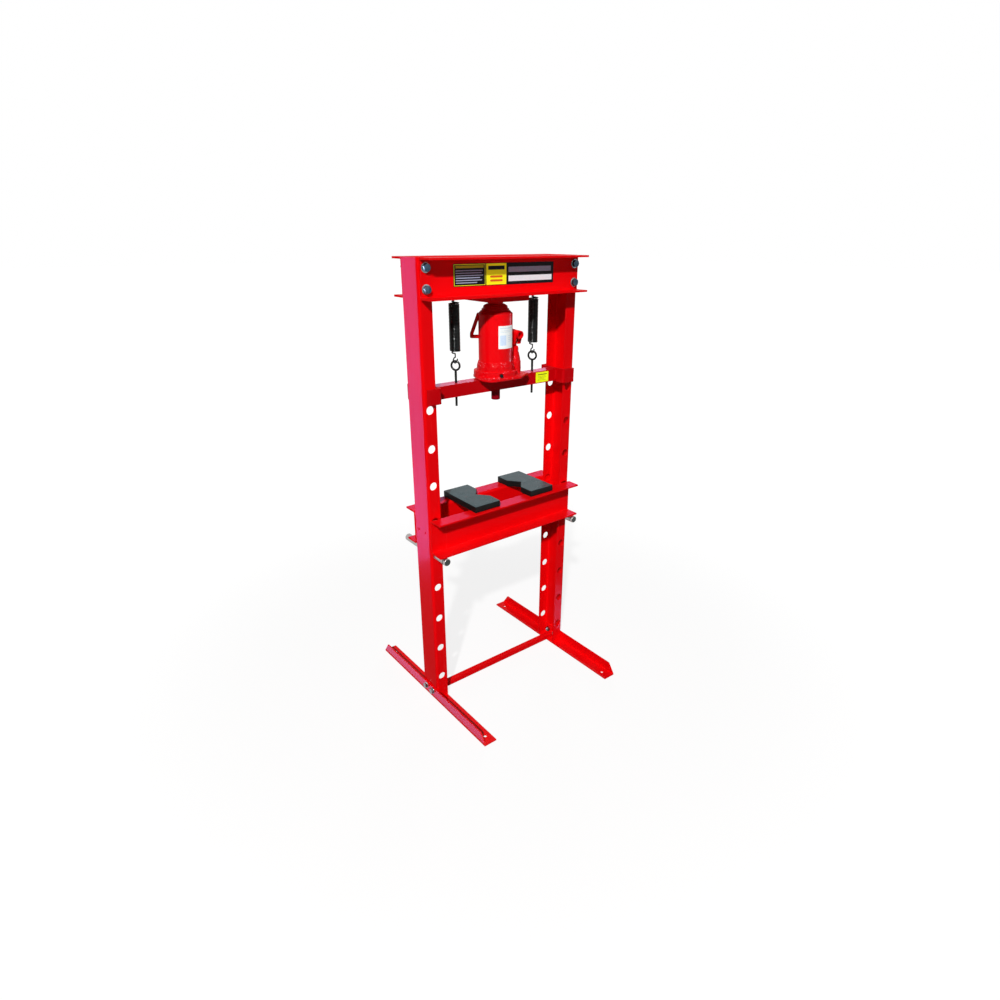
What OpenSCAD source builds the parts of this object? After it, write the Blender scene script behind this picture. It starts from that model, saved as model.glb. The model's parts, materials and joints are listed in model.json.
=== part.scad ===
// Workshop H-frame hydraulic press with a bottle jack on a sprung moving crossbeam.
// Origin: on the floor, midway between the posts. X runs along the beams, -Y is the
// front, Z is up. Millimetres throughout.

/* [Frame] */
// Overall height of the posts
frame_h = 1500; // [1400:5:1620]
// Width over the backs of the two posts
frame_w = 610; // [580:2:680]
// Depth of a post, front to back
post_d = 94; // [84:1:104]
// Width of a post's flanges
post_flange = 44; // [42:1:50]
// Thickness of the folded post
post_t = 5; // [4:0.5:6]
// Outer radius of the folds
fold_r = 9; // [8:0.5:11]

/* [Pin holes] */
// Number of pin holes up each post
hole_count = 9; // [6:1:9]
// Height of the top pin hole
hole_top = 1073; // [1060:1:1080]
// Distance between pin holes
hole_pitch = 122; // [118:1:124]
// Diameter of the pin holes
hole_d = 27; // [26:0.5:28]
// Distance of the hole row from the flanges' free edges
hole_inset = 21.5; // [19:0.5:23]
// Number of the hole, from the top, that carries the table
table_hole = 5; // [4:1:6]

/* [Top beam] */
// Height of the two top channels
beam_h = 111; // [100:1:125]
// Reach of the top channels' flanges
beam_flange = 55; // [45:1:60]
// Distance of the top channels' ends inside the backs of the posts
beam_inset = 6; // [0:1:8]
// Thickness of the top channels
beam_t = 6; // [5:0.5:7]
// Side of the square plate that the ram pushes against
head_plate_w = 150; // [135:1:165]
// Thickness of that plate
head_plate_t = 17; // [14:0.5:22]

/* [Table] */
// Height of the table channels
table_h = 120; // [110:1:126]
// Reach of the table channels' flanges
table_flange = 55; // [45:1:60]
// Distance of the table channels' ends inside the backs of the posts
table_inset = 2; // [-4:1:6]
// Thickness of the table channels
table_t = 6; // [5:0.5:7]
// Running gap between the posts and the table channels
table_gap = 1; // [0.6:0.1:2]
// Diameter of the pins under the table
pin_d = 25; // [22:0.5:25.5]
// Length of the pins
pin_l = 250; // [240:1:265]
// Distance that a pin stands out behind the table
pin_tail = 36; // [30:1:45]
// Thickness of the plates that tie the two table channels
spacer_t = 8; // [6:0.5:12]
// Height of those plates
spacer_h = 70; // [50:1:90]

/* [Arbor plates] */
// Width of an arbor plate, along the beam
plate_w = 102; // [90:1:110]
// Length of an arbor plate, front to back
plate_l = 192; // [185:1:200]
// Thickness of an arbor plate
plate_t = 22; // [18:0.5:26]
// Width of the V cut in its inner edge
vee_w = 80; // [60:1:90]
// Depth of the V cut
vee_depth = 33; // [20:1:38]
// Inner edge of the left plate, left of the centre
plate_left_x = 51; // [45:1:60]
// Inner edge of the right plate, right of the centre
plate_right_x = 85; // [70:1:90]
// Distance of both plates behind the centre
plate_back = 5; // [0:1:8]

/* [Feet] */
// Length of a foot
foot_l = 684; // [640:2:760]
// Height of a foot's upright leg
foot_h = 42; // [38:1:46]
// Width of a foot over its floor leg
foot_w = 48; // [46:1:60]
// Thickness of the foot angle
foot_t = 5; // [4:0.5:6]
// Length of the slanted cut at each end of the upright leg
foot_cut = 26; // [15:1:40]
// Diameter of the floor anchor holes
anchor_d = 12; // [10:0.5:14]
// Distance of the anchor holes from the foot's ends
anchor_inset = 36; // [30:1:45]
// Height of the cross brace tube
brace_h = 20; // [16:1:30]
// Depth of the cross brace tube
brace_d = 20; // [14:1:20]

/* [Moving crossbeam] */
// Height of the crossbeam tube
cross_h = 40; // [36:1:44]
// Depth of the crossbeam tube
cross_d = 42; // [36:1:48]
// Wall of the crossbeam tube
cross_t = 5; // [4:0.5:6]
// Height of the end guides
guide_h = 48; // [44:1:54]
// Thickness of the guide plates
guide_t = 6; // [5:0.5:7]
// Gap between a post's flange edges and its guide
guide_gap = 8.5; // [4:0.5:10]
// Gap between a post's flanges and the guide's arms
guide_side_gap = 7; // [3:0.5:8]
// Length of the guide's arms, over the plate
guide_reach = 50; // [46:1:56]
// Diameter of the press pin under the crossbeam
press_pin_d = 29; // [25:0.5:34]
// Length of the press pin
press_pin_l = 34; // [28:1:60]
// Travel of the crossbeam
stroke = 150; // [120:1:160]

/* [Springs] */
// Distance of the return springs from the centre
spring_x = 156; // [150:1:170]
// Outside diameter of a return spring
spring_d = 34; // [30:0.5:38]
// Diameter of the spring wire
spring_wire = 4.2; // [3.6:0.1:4.8]
// Number of close coils in a spring
spring_coils = 34; // [24:1:40]
// Diameter of the rods that the springs hang from
hanger_d = 10; // [8:0.5:11]
// Outside diameter of an eye bolt's ring
eye_d = 34; // [32:0.5:38]
// Wire diameter of an eye bolt
eye_wire = 6.4; // [5.5:0.1:7]

/* [Bottle jack] */
// Outside diameter of the jack's oil reservoir
tank_d = 109; // [100:1:115]
// Wall of the reservoir
tank_t = 3.5; // [2.5:0.5:5]
// Diameter of the ram
ram_d = 48; // [42:0.5:50]
// Diameter of the round top of the jack's base
base_d = 142; // [134:1:146]
// Width of the base's foot, front to back
base_w = 156; // [150:1:162]
// Thickness of the base's foot
base_foot_t = 7; // [6:0.5:10]
// Distance of the pump from the ram
pump_x = 78; // [76:0.5:84]
// Outside diameter of the pump cylinder
pump_d = 27; // [24:0.5:28]
// Diameter of the pump plunger
plunger_d = 14; // [12:0.5:15]
// Outside diameter of the handle socket
socket_d = 26; // [25:0.5:28]
// Bore of the handle socket
socket_bore = 18; // [16:0.5:19]
// Length of the handle socket
socket_l = 50; // [46:1:52]
// Slope of the handle socket at rest
socket_tilt = 17; // [12:1:20]
// Thickness of the bar of the side handle
side_rod_d = 11.5; // [9:0.5:13]
// Reach of the side handle from the reservoir
side_reach = 27; // [22:1:34]

/* [Hidden] */
$fn = 64;

red = [0.85, 0.02, 0.03];
dark_red = [0.6, 0.01, 0.02];
black = [0.05, 0.05, 0.06];
zinc = [0.7, 0.72, 0.75];
steel = [0.6, 0.62, 0.63];
eps = 0.01;

// Clearances
pin_rest_gap = 0.3;   // between a round pin and what it carries
slide_gap = 0.35;     // radial, between sliding round parts
snug_gap = 0.1;       // radial, between parts that are fixed together
label_t = 0.5;
label_gap = 0.05;

// Places along X
post_back_x = frame_w / 2;
post_edge_x = post_back_x - post_flange;
hole_x = post_edge_x + hole_inset;
post_y = post_d / 2;
beam_l = frame_w - 2 * beam_inset;
table_l = frame_w - 2 * table_inset;

web_hole_y = 20;
web_hole_d = 8;

// Places up Z
post_z0 = foot_t;
web_hole_z = 663;
beam_z0 = frame_h - beam_h;
head_plate_z0 = beam_z0 - head_plate_t;
table_hole_z = hole_top - (table_hole - 1) * hole_pitch;
table_pin_z = table_hole_z - (hole_d - pin_d) / 2 + pin_rest_gap;
table_z0 = table_pin_z + pin_d / 2 + pin_rest_gap;
table_z1 = table_z0 + table_h;
table_web_y = post_y + table_gap;

// Jack stack, from the ram's top down
ram_top_z = head_plate_z0;
saddle_t = 11;
nut_h = 28;
nut_lap = 8;
tank_h = 176;
base_top_t = 16;
base_h = base_foot_t + base_top_t;
cross_z1 = ram_top_z - saddle_t - nut_h - tank_h - base_h;
cross_z0 = cross_z1 - cross_h;
base_top_z = cross_z1 + base_h;
tank_top_z = base_top_z + tank_h;
nut_top_z = tank_top_z + nut_h;
cylinder_bore = ram_d + 2 * slide_gap;
cylinder_d = cylinder_bore + 15;
cylinder_top_z = tank_top_z + nut_lap;
ram_foot_gap = 3;

// Bolts: [shank diameter, head across flats, head height, washer diameter, washer thickness,
// nut height]
top_bolt = [14, 21, 9, 28, 2.5, 11];
foot_bolt = [12, 18, 7.5, 22, 2, 9.5];
bolt_play = 0.5;
top_bolt_drop = 26;
top_bolt_rise = 28;
top_bolt_zs = [beam_z0 + top_bolt_rise, frame_h - top_bolt_drop];
foot_bolt_z = 28;
foot_bolt_y = 21;
end_plate_t = 5;
brace_x = post_back_x - post_t - end_plate_t;
brace_t = 2.5;
end_plate_h = 44;
end_plate_w = 66;

// Springs and eyes
hook_r = 8.5;
hook_play = 0.4;
hook_sweep = 290;
spring_wire_r = spring_wire / 2;
spring_len = spring_coils * spring_wire;
hook_neck_top = 15.5;
hanger_z = beam_z0 + 8;
hook_top_z = hanger_z + hanger_d / 2 + hook_play + spring_wire_r - hook_r;
spring_z1 = hook_top_z - hook_r - hook_neck_top;
spring_z0 = spring_z1 - spring_len;
eye_r = (eye_d - eye_wire) / 2;
hook_neck = 17.5;
hook_low_z = spring_z0 - hook_neck - hook_r;
eye_z = hook_low_z - hook_r + spring_wire_r + hook_play + eye_wire / 2 - eye_r;
eye_turn = -57;
hook_turn = 8;
eye_bolt_d = 8;
eye_bolt_tail = 34;

// Guides
guide_plate_x = post_edge_x - guide_gap;
guide_arm_y = post_y + guide_side_gap;
guide_z0 = cross_z0 - (guide_h - cross_h) / 2;

// Pump and lever, measured from the fulcrum pin
lever_arm = 31;
swing = 40;
lever_pin_d = 8;
lever_pin_play = 0.3;
cheek_t = 4;
cheek_gap = plunger_d + 5;
plunger_pin_rise = 106;
plunger_pin_z = cross_z1 + plunger_pin_rise;
fulcrum_y = lever_arm * cos(socket_tilt);
fulcrum_z = plunger_pin_z + lever_arm * sin(socket_tilt);
socket_rise = 31;
socket_front = 54;
socket_end_t = 6;
// Turn of the tube from the line through the lever's pins, which brings it near level
socket_cock = 14;
slot_travel = 1.3;
slot_play = 0.7;
slot_shift = 0.15;
pump_top_z = plunger_pin_z - 15;
link_w = 13;
link_web = 11;
link_t = 14;
link_pin_z = base_top_z + 15;
gland_h = 5;

// Release valve, radial in the base
valve_angle = -112;
valve_d = 11;
valve_z = base_top_z - base_top_t / 2;
valve_depth = 22;
valve_out = 5;

// ---- Shapes that repeat ----

// Folded channel profile: the web lies on x = 0 to t, the flanges reach to +x.
module channel_profile(h, reach, t, r) {
    difference() {
        union() {
            translate([r, 0]) square([reach - r, h]);
            translate([0, r]) square([r + eps, h - 2 * r]);
            translate([r, r]) circle(r = r);
            translate([r, h - r]) circle(r = r);
        }
        inner = r - t;
        union() {
            translate([r, t]) square([reach, h - 2 * t]);
            translate([t, r]) square([r, h - 2 * r]);
            translate([r, r]) circle(r = inner);
            translate([r, h - r]) circle(r = inner);
        }
    }
}

// Square tube along X, centred on Y, bottom at z = 0
module tube_x(l, d, h, t) {
    translate([-l / 2, 0, 0])
        rotate([90, 0, 90])
            linear_extrude(l)
                difference() {
                    translate([-d / 2, 0]) square([d, h]);
                    translate([-d / 2 + t, t]) square([d - 2 * t, h - 2 * t]);
                }
}

// Round bar through (x, z) along Y
module bar_y(x, y0, y1, z, d) {
    translate([x, y0, z]) rotate([-90, 0, 0]) cylinder(h = y1 - y0, d = d);
}

// Round bar along X
module bar_x(x0, x1, y, z, d) {
    translate([x0, y, z]) rotate([0, 90, 0]) cylinder(h = x1 - x0, d = d);
}

// Hexagon with its corners chamfered at the top, base on z = 0
module hex_body(flats, h) {
    corner = flats / cos(30);
    intersection() {
        cylinder(h = h, d = corner, $fn = 6);
        rotate_extrude()
            polygon([[0, 0], [corner / 2, 0], [corner / 2, h - (corner - flats) / 3],
                     [flats / 2 - 0.5, h], [0, h]]);
    }
}

// Hexagon bolt: under-head face on z = 0, shank down to z = -l
module bolt(spec, l) {
    hex_body(spec[1], spec[2]);
    translate([0, 0, -l]) cylinder(h = l + eps, d = spec[0]);
}

module washer(spec) {
    difference() {
        cylinder(h = spec[4], d = spec[3]);
        translate([0, 0, -1]) cylinder(h = spec[4] + 2, d = spec[0] + 2 * snug_gap);
    }
}

module nut(spec) {
    difference() {
        hex_body(spec[1], spec[5]);
        translate([0, 0, -1]) cylinder(h = spec[5] + 2, d = spec[0] + 2 * snug_gap);
    }
}

// Copies at the four ends of the top beam, with +Z pointing outwards from the post
module at_top_bolts(out) {
    for (side = [-1, 1], face = [-1, 1], z = top_bolt_zs)
        translate([side * hole_x, face * out, z]) rotate([face * -90, 0, 0]) children();
}

// Copies at the foot bolts, with +Z pointing outwards from the post
module at_foot_bolts(out) {
    for (side = [-1, 1], y = [-foot_bolt_y, foot_bolt_y])
        translate([side * out, y, foot_bolt_z]) rotate([0, side * 90, 0]) children();
}

// Open hook of spring wire in the XZ plane, centred on the origin; gap is the open angle
// and from is where the wire starts, measured from +X
module wire_ring(r, wire, from, sweep) {
    rotate([90, 0, 0])
        rotate([0, 0, from])
            rotate_extrude(angle = sweep)
                translate([r, 0]) circle(d = wire, $fn = 24);
}

// ---- Frame ----

module post(side) {
    color(red)
    difference() {
        translate([side * post_back_x, 0, post_z0])
            rotate([0, 0, side > 0 ? 180 : 0])
                translate([0, -post_y, 0])
                    linear_extrude(frame_h - post_z0)
                        channel_profile(post_d, post_flange, post_t, fold_r);
        for (i = [0 : hole_count - 1])
            bar_y(side * hole_x, -post_d, post_d, hole_top - i * hole_pitch, hole_d);
        at_top_bolts(0)
            translate([0, 0, -post_d])
                cylinder(h = 2 * post_d, d = top_bolt[0] + bolt_play);
        at_foot_bolts(0)
            cylinder(h = frame_w, d = foot_bolt[0] + bolt_play);
        for (y = [-web_hole_y, web_hole_y])
            bar_x(-frame_w, frame_w, y, web_hole_z, web_hole_d);
    }
}
module post_left() { post(-1); }
module post_right() { post(1); }

module top_channel(face) {
    color(red)
    difference() {
        translate([-face * beam_l / 2, face * post_y, beam_z0])
            rotate([90, 0, face * 90])
                linear_extrude(beam_l)
                    channel_profile(beam_h, beam_flange, beam_t, fold_r);
        at_top_bolts(0)
            cylinder(h = 2 * post_d, d = top_bolt[0] + bolt_play);
    }
}
module top_channel_front() { top_channel(-1); }
module top_channel_rear() { top_channel(1); }

module head_plate() {
    color(red)
    translate([-head_plate_w / 2, -head_plate_w / 2, head_plate_z0])
        cube([head_plate_w, head_plate_w, head_plate_t]);
}

module spring_hanger_rods() {
    color(dark_red)
    for (side = [-1, 1])
        bar_y(side * spring_x, -post_y, post_y, hanger_z, hanger_d);
}

top_bolt_out = post_y + beam_t + top_bolt[4];
top_bolt_l = beam_t + top_bolt[4] + post_t + top_bolt[5] + 4;
module top_bolts() {
    color(zinc) at_top_bolts(top_bolt_out) bolt(top_bolt, top_bolt_l);
}
module top_washers() {
    color(zinc) at_top_bolts(post_y + beam_t) washer(top_bolt);
}
module top_nuts() {
    color(zinc) at_top_bolts(post_y - post_t - top_bolt[5]) nut(top_bolt);
}

module foot(side) {
    upright_top = foot_h;
    color(red)
    translate([side * (post_back_x + foot_t), 0, 0])
        mirror([side > 0 ? 1 : 0, 0, 0])
            difference() {
                union() {
                    translate([0, -foot_l / 2, 0]) cube([foot_w, foot_l, foot_t]);
                    rotate([90, 0, 90])
                        linear_extrude(foot_t)
                            polygon([[-foot_l / 2, 0], [foot_l / 2, 0],
                                     [foot_l / 2, foot_t], [foot_l / 2 - foot_cut, upright_top],
                                     [foot_cut - foot_l / 2, upright_top], [-foot_l / 2, foot_t]]);
                }
                for (y = [-1, 1])
                    translate([post_back_x + foot_t - hole_x, y * (foot_l / 2 - anchor_inset), -1])
                        cylinder(h = foot_t + 2, d = anchor_d);
                for (y = [-foot_bolt_y, foot_bolt_y])
                    bar_x(-1, foot_t + 1, y, foot_bolt_z, foot_bolt[0] + bolt_play);
            }
}
module foot_left() { foot(-1); }
module foot_right() { foot(1); }

foot_bolt_out = post_back_x + foot_t + foot_bolt[4];
foot_bolt_l = foot_bolt[4] + foot_t + post_t + end_plate_t + foot_bolt[5] + 3;
module foot_bolts() {
    color(zinc) at_foot_bolts(foot_bolt_out) bolt(foot_bolt, foot_bolt_l);
}
module foot_washers() {
    color(zinc) at_foot_bolts(post_back_x + foot_t) washer(foot_bolt);
}
module foot_nuts() {
    color(zinc) at_foot_bolts(brace_x - foot_bolt[5]) nut(foot_bolt);
}

module cross_brace() {
    color(red) translate([0, 0, post_z0]) tube_x(2 * brace_x, brace_d, brace_h, brace_t);
}

module brace_end_plates() {
    color(red)
    difference() {
        for (side = [-1, 1])
            translate([side * (brace_x + end_plate_t / 2) - end_plate_t / 2,
                       -end_plate_w / 2, post_z0])
                cube([end_plate_t, end_plate_w, end_plate_h]);
        at_foot_bolts(0)
            cylinder(h = frame_w, d = foot_bolt[0] + bolt_play);
    }
}

name_label_w = 382;
name_label_h = 62;
name_label_drop = 18;
module name_label() {
    color(black)
    translate([-name_label_w / 2, -post_y - beam_t - label_t - label_gap,
               frame_h - name_label_drop - name_label_h])
        cube([name_label_w, label_t, name_label_h]);
}

// ---- Jack ram, which stays against the head plate ----

ram_z0 = base_top_z + ram_foot_gap;
seal_h = 5;
seal_z = ram_z0 + 8;
seal_groove = 3;
module jack_ram() {
    color(steel)
    rotate_extrude()
        polygon([[0, ram_z0], [ram_d / 2 - 1, ram_z0], [ram_d / 2, ram_z0 + 1],
                 [ram_d / 2, seal_z], [ram_d / 2 - seal_groove, seal_z],
                 [ram_d / 2 - seal_groove, seal_z + seal_h], [ram_d / 2, seal_z + seal_h],
                 [ram_d / 2, ram_top_z - saddle_t], [0, ram_top_z - saddle_t]]);
}

module ram_seal() {
    color(black)
    translate([0, 0, seal_z + snug_gap])
        difference() {
            cylinder(h = seal_h - 2 * snug_gap, d = ram_d + slide_gap);
            translate([0, 0, -1])
                cylinder(h = seal_h + 2, d = ram_d - 2 * seal_groove + 2 * snug_gap);
        }
}

module jack_saddle() {
    color(red)
    translate([0, 0, ram_top_z - saddle_t])
        rotate_extrude()
            polygon([[0, 0], [ram_d / 2 - 1, 0], [ram_d / 2 + 0.5, 2],
                     [ram_d / 2 + 0.5, saddle_t - 1], [ram_d / 2 - 0.5, saddle_t],
                     [0, saddle_t]]);
}

// ---- Return springs ----

// One close-coiled spring with a hook at each end, upright on the Z axis
module spring_shape() {
    outer = spring_d / 2 - spring_wire_r;
    inner = spring_d / 2 - spring_wire;
    translate([0, 0, spring_z0])
        rotate_extrude()
            difference() {
                union() {
                    translate([inner, spring_wire_r])
                        square([spring_wire_r, spring_len - spring_wire]);
                    for (i = [0 : spring_coils - 1])
                        translate([outer, (i + 0.5) * spring_wire])
                            circle(r = spring_wire_r, $fn = 16);
                }
                translate([inner - 2, -1]) square([2, spring_len + 2]);
            }
    end_lift = spring_wire_r;
    for (end = [[spring_z1 - end_lift, 0], [spring_z0 + end_lift, 0]])
        translate([0, 0, end[0]]) bar_x(-outer, outer, 0, 0, spring_wire);
    translate([0, 0, spring_z1 - end_lift])
        cylinder(h = hook_top_z - hook_r - spring_z1 + 2 * end_lift, d = spring_wire);
    translate([0, 0, hook_top_z]) wire_ring(hook_r, spring_wire, -90, hook_sweep);
    translate([0, 0, hook_low_z + hook_r - end_lift])
        cylinder(h = spring_z0 - hook_low_z - hook_r + 2 * end_lift, d = spring_wire);
    rotate([0, 0, hook_turn])
        translate([0, 0, hook_low_z]) wire_ring(hook_r, spring_wire, 90, hook_sweep);
}
module spring_left() { color(black) translate([-spring_x, 0, 0]) spring_shape(); }
module spring_right() { color(black) translate([spring_x, 0, 0]) spring_shape(); }

// ---- Table ----

module table_channel(face) {
    color(red)
    translate([-face * table_l / 2, face * table_web_y, table_z0])
        rotate([90, 0, face * 90])
            linear_extrude(table_l)
                channel_profile(table_h, table_flange, table_t, fold_r);
}
module table_channel_front() { table_channel(-1); }
module table_channel_rear() { table_channel(1); }

spacer_x = post_edge_x - guide_gap;
spacer_z0 = table_z0 + 10;
module table_spacer(side) {
    color(red)
    translate([side * (spacer_x - spacer_t / 2) - spacer_t / 2, -table_web_y, spacer_z0])
        cube([spacer_t, 2 * table_web_y, spacer_h]);
}
module table_spacer_left() { table_spacer(-1); }
module table_spacer_right() { table_spacer(1); }

// Arbor plate with its V edge on x = 0 and its body towards +x
module arbor_plate() {
    color(black)
    linear_extrude(plate_t)
        polygon([[0, -plate_l / 2], [plate_w, -plate_l / 2], [plate_w, plate_l / 2],
                 [0, plate_l / 2], [0, vee_w / 2], [vee_depth, 0], [0, -vee_w / 2]]);
}
module arbor_plate_left() {
    translate([-plate_left_x, plate_back, table_z1]) mirror([1, 0, 0]) arbor_plate();
}
module arbor_plate_right() {
    translate([plate_right_x, plate_back, table_z1]) arbor_plate();
}

pin_groove_from = 10;
pin_groove_l = 4;
pin_groove_cut = 2;
module table_pin(side) {
    r = pin_d / 2;
    tail_y = table_web_y + table_flange + pin_tail;
    color(steel)
    translate([side * hole_x, tail_y - pin_l, table_pin_z])
        rotate([-90, 0, 0])
            rotate_extrude()
                polygon([[0, 0], [r - 1.5, 0], [r, 1.5],
                         [r, pin_groove_from], [r - pin_groove_cut, pin_groove_from],
                         [r - pin_groove_cut, pin_groove_from + pin_groove_l],
                         [r, pin_groove_from + pin_groove_l],
                         [r, pin_l - 1.5], [r - 1.5, pin_l], [0, pin_l]]);
}
module table_pin_left() { table_pin(-1); }
module table_pin_right() { table_pin(1); }

// ---- Moving crossbeam ----

module crossbeam() {
    color(red)
    difference() {
        translate([0, 0, cross_z0])
            tube_x(2 * (guide_plate_x - guide_t), cross_d, cross_h, cross_t);
        for (side = [-1, 1])
            translate([side * spring_x, 0, cross_z0 - 1])
                cylinder(h = cross_h + 2, d = eye_bolt_d + 2 * snug_gap);
    }
}

// Guide: a plate across the crossbeam's end, with an arm in front of and behind the post
module guide(side) {
    width = 2 * (guide_arm_y + guide_t);
    arm_l = guide_reach;
    r = guide_t + 3;
    color(red)
    translate([side * (guide_plate_x - guide_t), 0, guide_z0])
        mirror([side > 0 ? 0 : 1, 0, 0])
            translate([0, -width / 2, 0])
                linear_extrude(guide_h)
                    channel_profile(width, arm_l, guide_t, r);
}
module guide_left() { guide(-1); }
module guide_right() { guide(1); }

module press_pin() {
    r = press_pin_d / 2;
    color(dark_red)
    translate([0, 0, cross_z0 - press_pin_l])
        rotate_extrude()
            polygon([[0, 0], [r - 1.5, 0], [r, 1.5], [r, press_pin_l], [0, press_pin_l]]);
}

module eye_bolt(side) {
    color(black)
    translate([side * spring_x, 0, 0]) {
        translate([0, 0, eye_z]) rotate([0, 0, eye_turn]) wire_ring(eye_r, eye_wire, 0, 360);
        translate([0, 0, cross_z0 - eye_bolt_tail])
            cylinder(h = eye_z - eye_r - cross_z0 + eye_bolt_tail, d = eye_bolt_d);
    }
}
module eye_bolt_left() { eye_bolt(-1); }
module eye_bolt_right() { eye_bolt(1); }

beam_label_w = 56;
beam_label_margin = 3;
beam_label_end_gap = 34.5;
module beam_label() {
    color([0.85, 0.8, 0.05])
    translate([guide_plate_x - guide_t - beam_label_end_gap - beam_label_w, -cross_d / 2 - label_t - label_gap, cross_z0 + beam_label_margin])
        cube([beam_label_w, label_t, cross_h - 2 * beam_label_margin]);
}

// ---- Bottle jack ----

base_left = 86;
base_right = pump_x + 27;
base_nose_w = 86;
base_waist_x = 46;
base_corner_x = 58;
base_corner_y = 34;
base_rear_x = 20;
skirt_h = 30;
skirt_t = 6;
boss_d = 43;
boss_h = 16;
boss_taper = 33;
lug_t = 6;
lug_h = 25;
module jack_base() {
    tank_r = tank_d / 2;
    link_side = link_t / 2 + lever_pin_play;
    color(red)
    difference() {
        union() {
            translate([0, 0, cross_z1])
                linear_extrude(base_foot_t)
                    polygon([[-base_corner_x, -base_w / 2], [base_waist_x, -base_w / 2],
                             [base_right, -base_nose_w / 2], [base_right, base_nose_w / 2],
                             [base_waist_x, base_w / 2], [-base_rear_x, base_w / 2],
                             for (a = [116, 144, 172]) (base_d / 2 + 2) * [cos(a), sin(a)],
                             [-base_left, -base_corner_y],
                             [-base_left + 3, -base_corner_y - 16],
                             [-base_left + 12, -base_w / 2 + 8]]);
            translate([0, 0, cross_z1 + base_foot_t])
                cylinder(h = base_top_t, d = base_d);
            translate([0, 0, base_top_z])
                rotate_extrude()
                    polygon([[tank_r + snug_gap, 0], [tank_r + skirt_t, 0],
                             [tank_r + skirt_t, skirt_h / 2], [tank_r + 1.5, skirt_h],
                             [tank_r + snug_gap, skirt_h]]);
            translate([pump_x, 0, cross_z1 + base_foot_t])
                cylinder(h = base_top_t + boss_h, d = boss_d);
            translate([pump_x, 0, base_top_z + boss_h])
                cylinder(h = boss_taper, d1 = boss_d, d2 = pump_d + 3);
            translate([0, -boss_d / 2, cross_z1 + base_foot_t])
                cube([pump_x, boss_d, base_top_t]);
            for (side = [-1, 1])
                translate([pump_x + side * (link_side + lug_t / 2) - lug_t / 2,
                           fulcrum_y - link_w / 2 - 2, cross_z1 + base_foot_t])
                    cube([lug_t, link_w + 4, base_top_t + lug_h]);
        }
        translate([0, 0, base_top_z])
            cylinder(h = tank_h, d = tank_d + 2 * snug_gap);
        translate([pump_x, 0, base_top_z - 5])
            cylinder(h = tank_h, d = pump_d + 2 * snug_gap);
        translate([pump_x - link_side, fulcrum_y - link_w / 2 - slide_gap, base_top_z])
            cube([2 * link_side, link_w + 2 + 2, lug_h + 1]);
        bar_x(pump_x - 40, pump_x + 40, fulcrum_y, link_pin_z, lever_pin_d + 2 * snug_gap);
        rotate([0, 0, valve_angle])
            bar_x(base_d / 2 - valve_depth - 0.5, base_d, 0, valve_z,
                  valve_d + 2 * slide_gap);
    }
}

module jack_reservoir() {
    color(red)
    difference() {
        translate([0, 0, base_top_z]) cylinder(h = tank_h, d = tank_d);
        translate([0, 0, base_top_z - 1]) cylinder(h = tank_h + 2, d = tank_d - 2 * tank_t);
        rotate([0, 0, filler_angle])
            bar_x(tank_d / 2 - 10, tank_d / 2 + 10, 0, filler_z, filler_d + 2 * snug_gap);
    }
}

module jack_cylinder() {
    color(steel)
    translate([0, 0, base_top_z])
        difference() {
            cylinder(h = cylinder_top_z - base_top_z, d = cylinder_d);
            translate([0, 0, -1]) cylinder(h = tank_h + nut_lap + 2, d = cylinder_bore);
        }
}

module jack_top_nut() {
    bore_r = cylinder_bore / 2;
    seat_r = cylinder_d / 2 + snug_gap;
    rim_r = tank_d / 2;
    collar_r = rim_r - 12;
    color(red)
    translate([0, 0, tank_top_z])
        rotate_extrude()
            polygon([[seat_r, 0], [rim_r, 0], [rim_r - 8, nut_lap], [collar_r + 1, nut_lap + 1],
                     [collar_r + 1, nut_h - 14], [collar_r - 3, nut_h - 13],
                     [collar_r - 5, nut_h - 5], [bore_r + 4, nut_h], [bore_r, nut_h],
                     [bore_r, nut_lap], [seat_r, nut_lap]]);
}

plunger_bore = plunger_d + 2 * slide_gap;
module pump_cylinder() {
    z0 = base_top_z - 5;
    color(red)
    translate([pump_x, 0, z0])
        difference() {
            cylinder(h = pump_top_z - gland_h - z0, d = pump_d);
            translate([0, 0, 4]) cylinder(h = pump_top_z, d = plunger_bore);
        }
}

module pump_gland() {
    color(steel)
    translate([pump_x, 0, pump_top_z - gland_h])
        difference() {
            hex_body(pump_d - 4, gland_h);
            translate([0, 0, -1]) cylinder(h = gland_h + 2, d = plunger_bore);
        }
}

// Link that stands on the base and carries the fulcrum pin
module fulcrum_link() {
    color(dark_red)
    difference() {
        union() {
            translate([pump_x - link_t / 2, fulcrum_y - link_web / 2, link_pin_z])
                cube([link_t, link_web, fulcrum_z - link_pin_z]);
            for (z = [link_pin_z, fulcrum_z])
                bar_x(pump_x - link_t / 2, pump_x + link_t / 2, fulcrum_y, z, link_w);
        }
        for (z = [link_pin_z, fulcrum_z])
            bar_x(pump_x - link_t, pump_x + link_t, fulcrum_y, z, lever_pin_d + 2 * snug_gap);
    }
}

lug_out = link_t / 2 + lever_pin_play + lug_t + 2;
module link_pin() {
    color(steel) bar_x(pump_x - lug_out, pump_x + lug_out, fulcrum_y, link_pin_z, lever_pin_d);
}

cheek_out = cheek_gap / 2 + cheek_t + 2.5;
module fulcrum_pin() {
    color(steel)
    bar_x(pump_x - cheek_out, pump_x + cheek_out, fulcrum_y, fulcrum_z, lever_pin_d);
}

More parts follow.
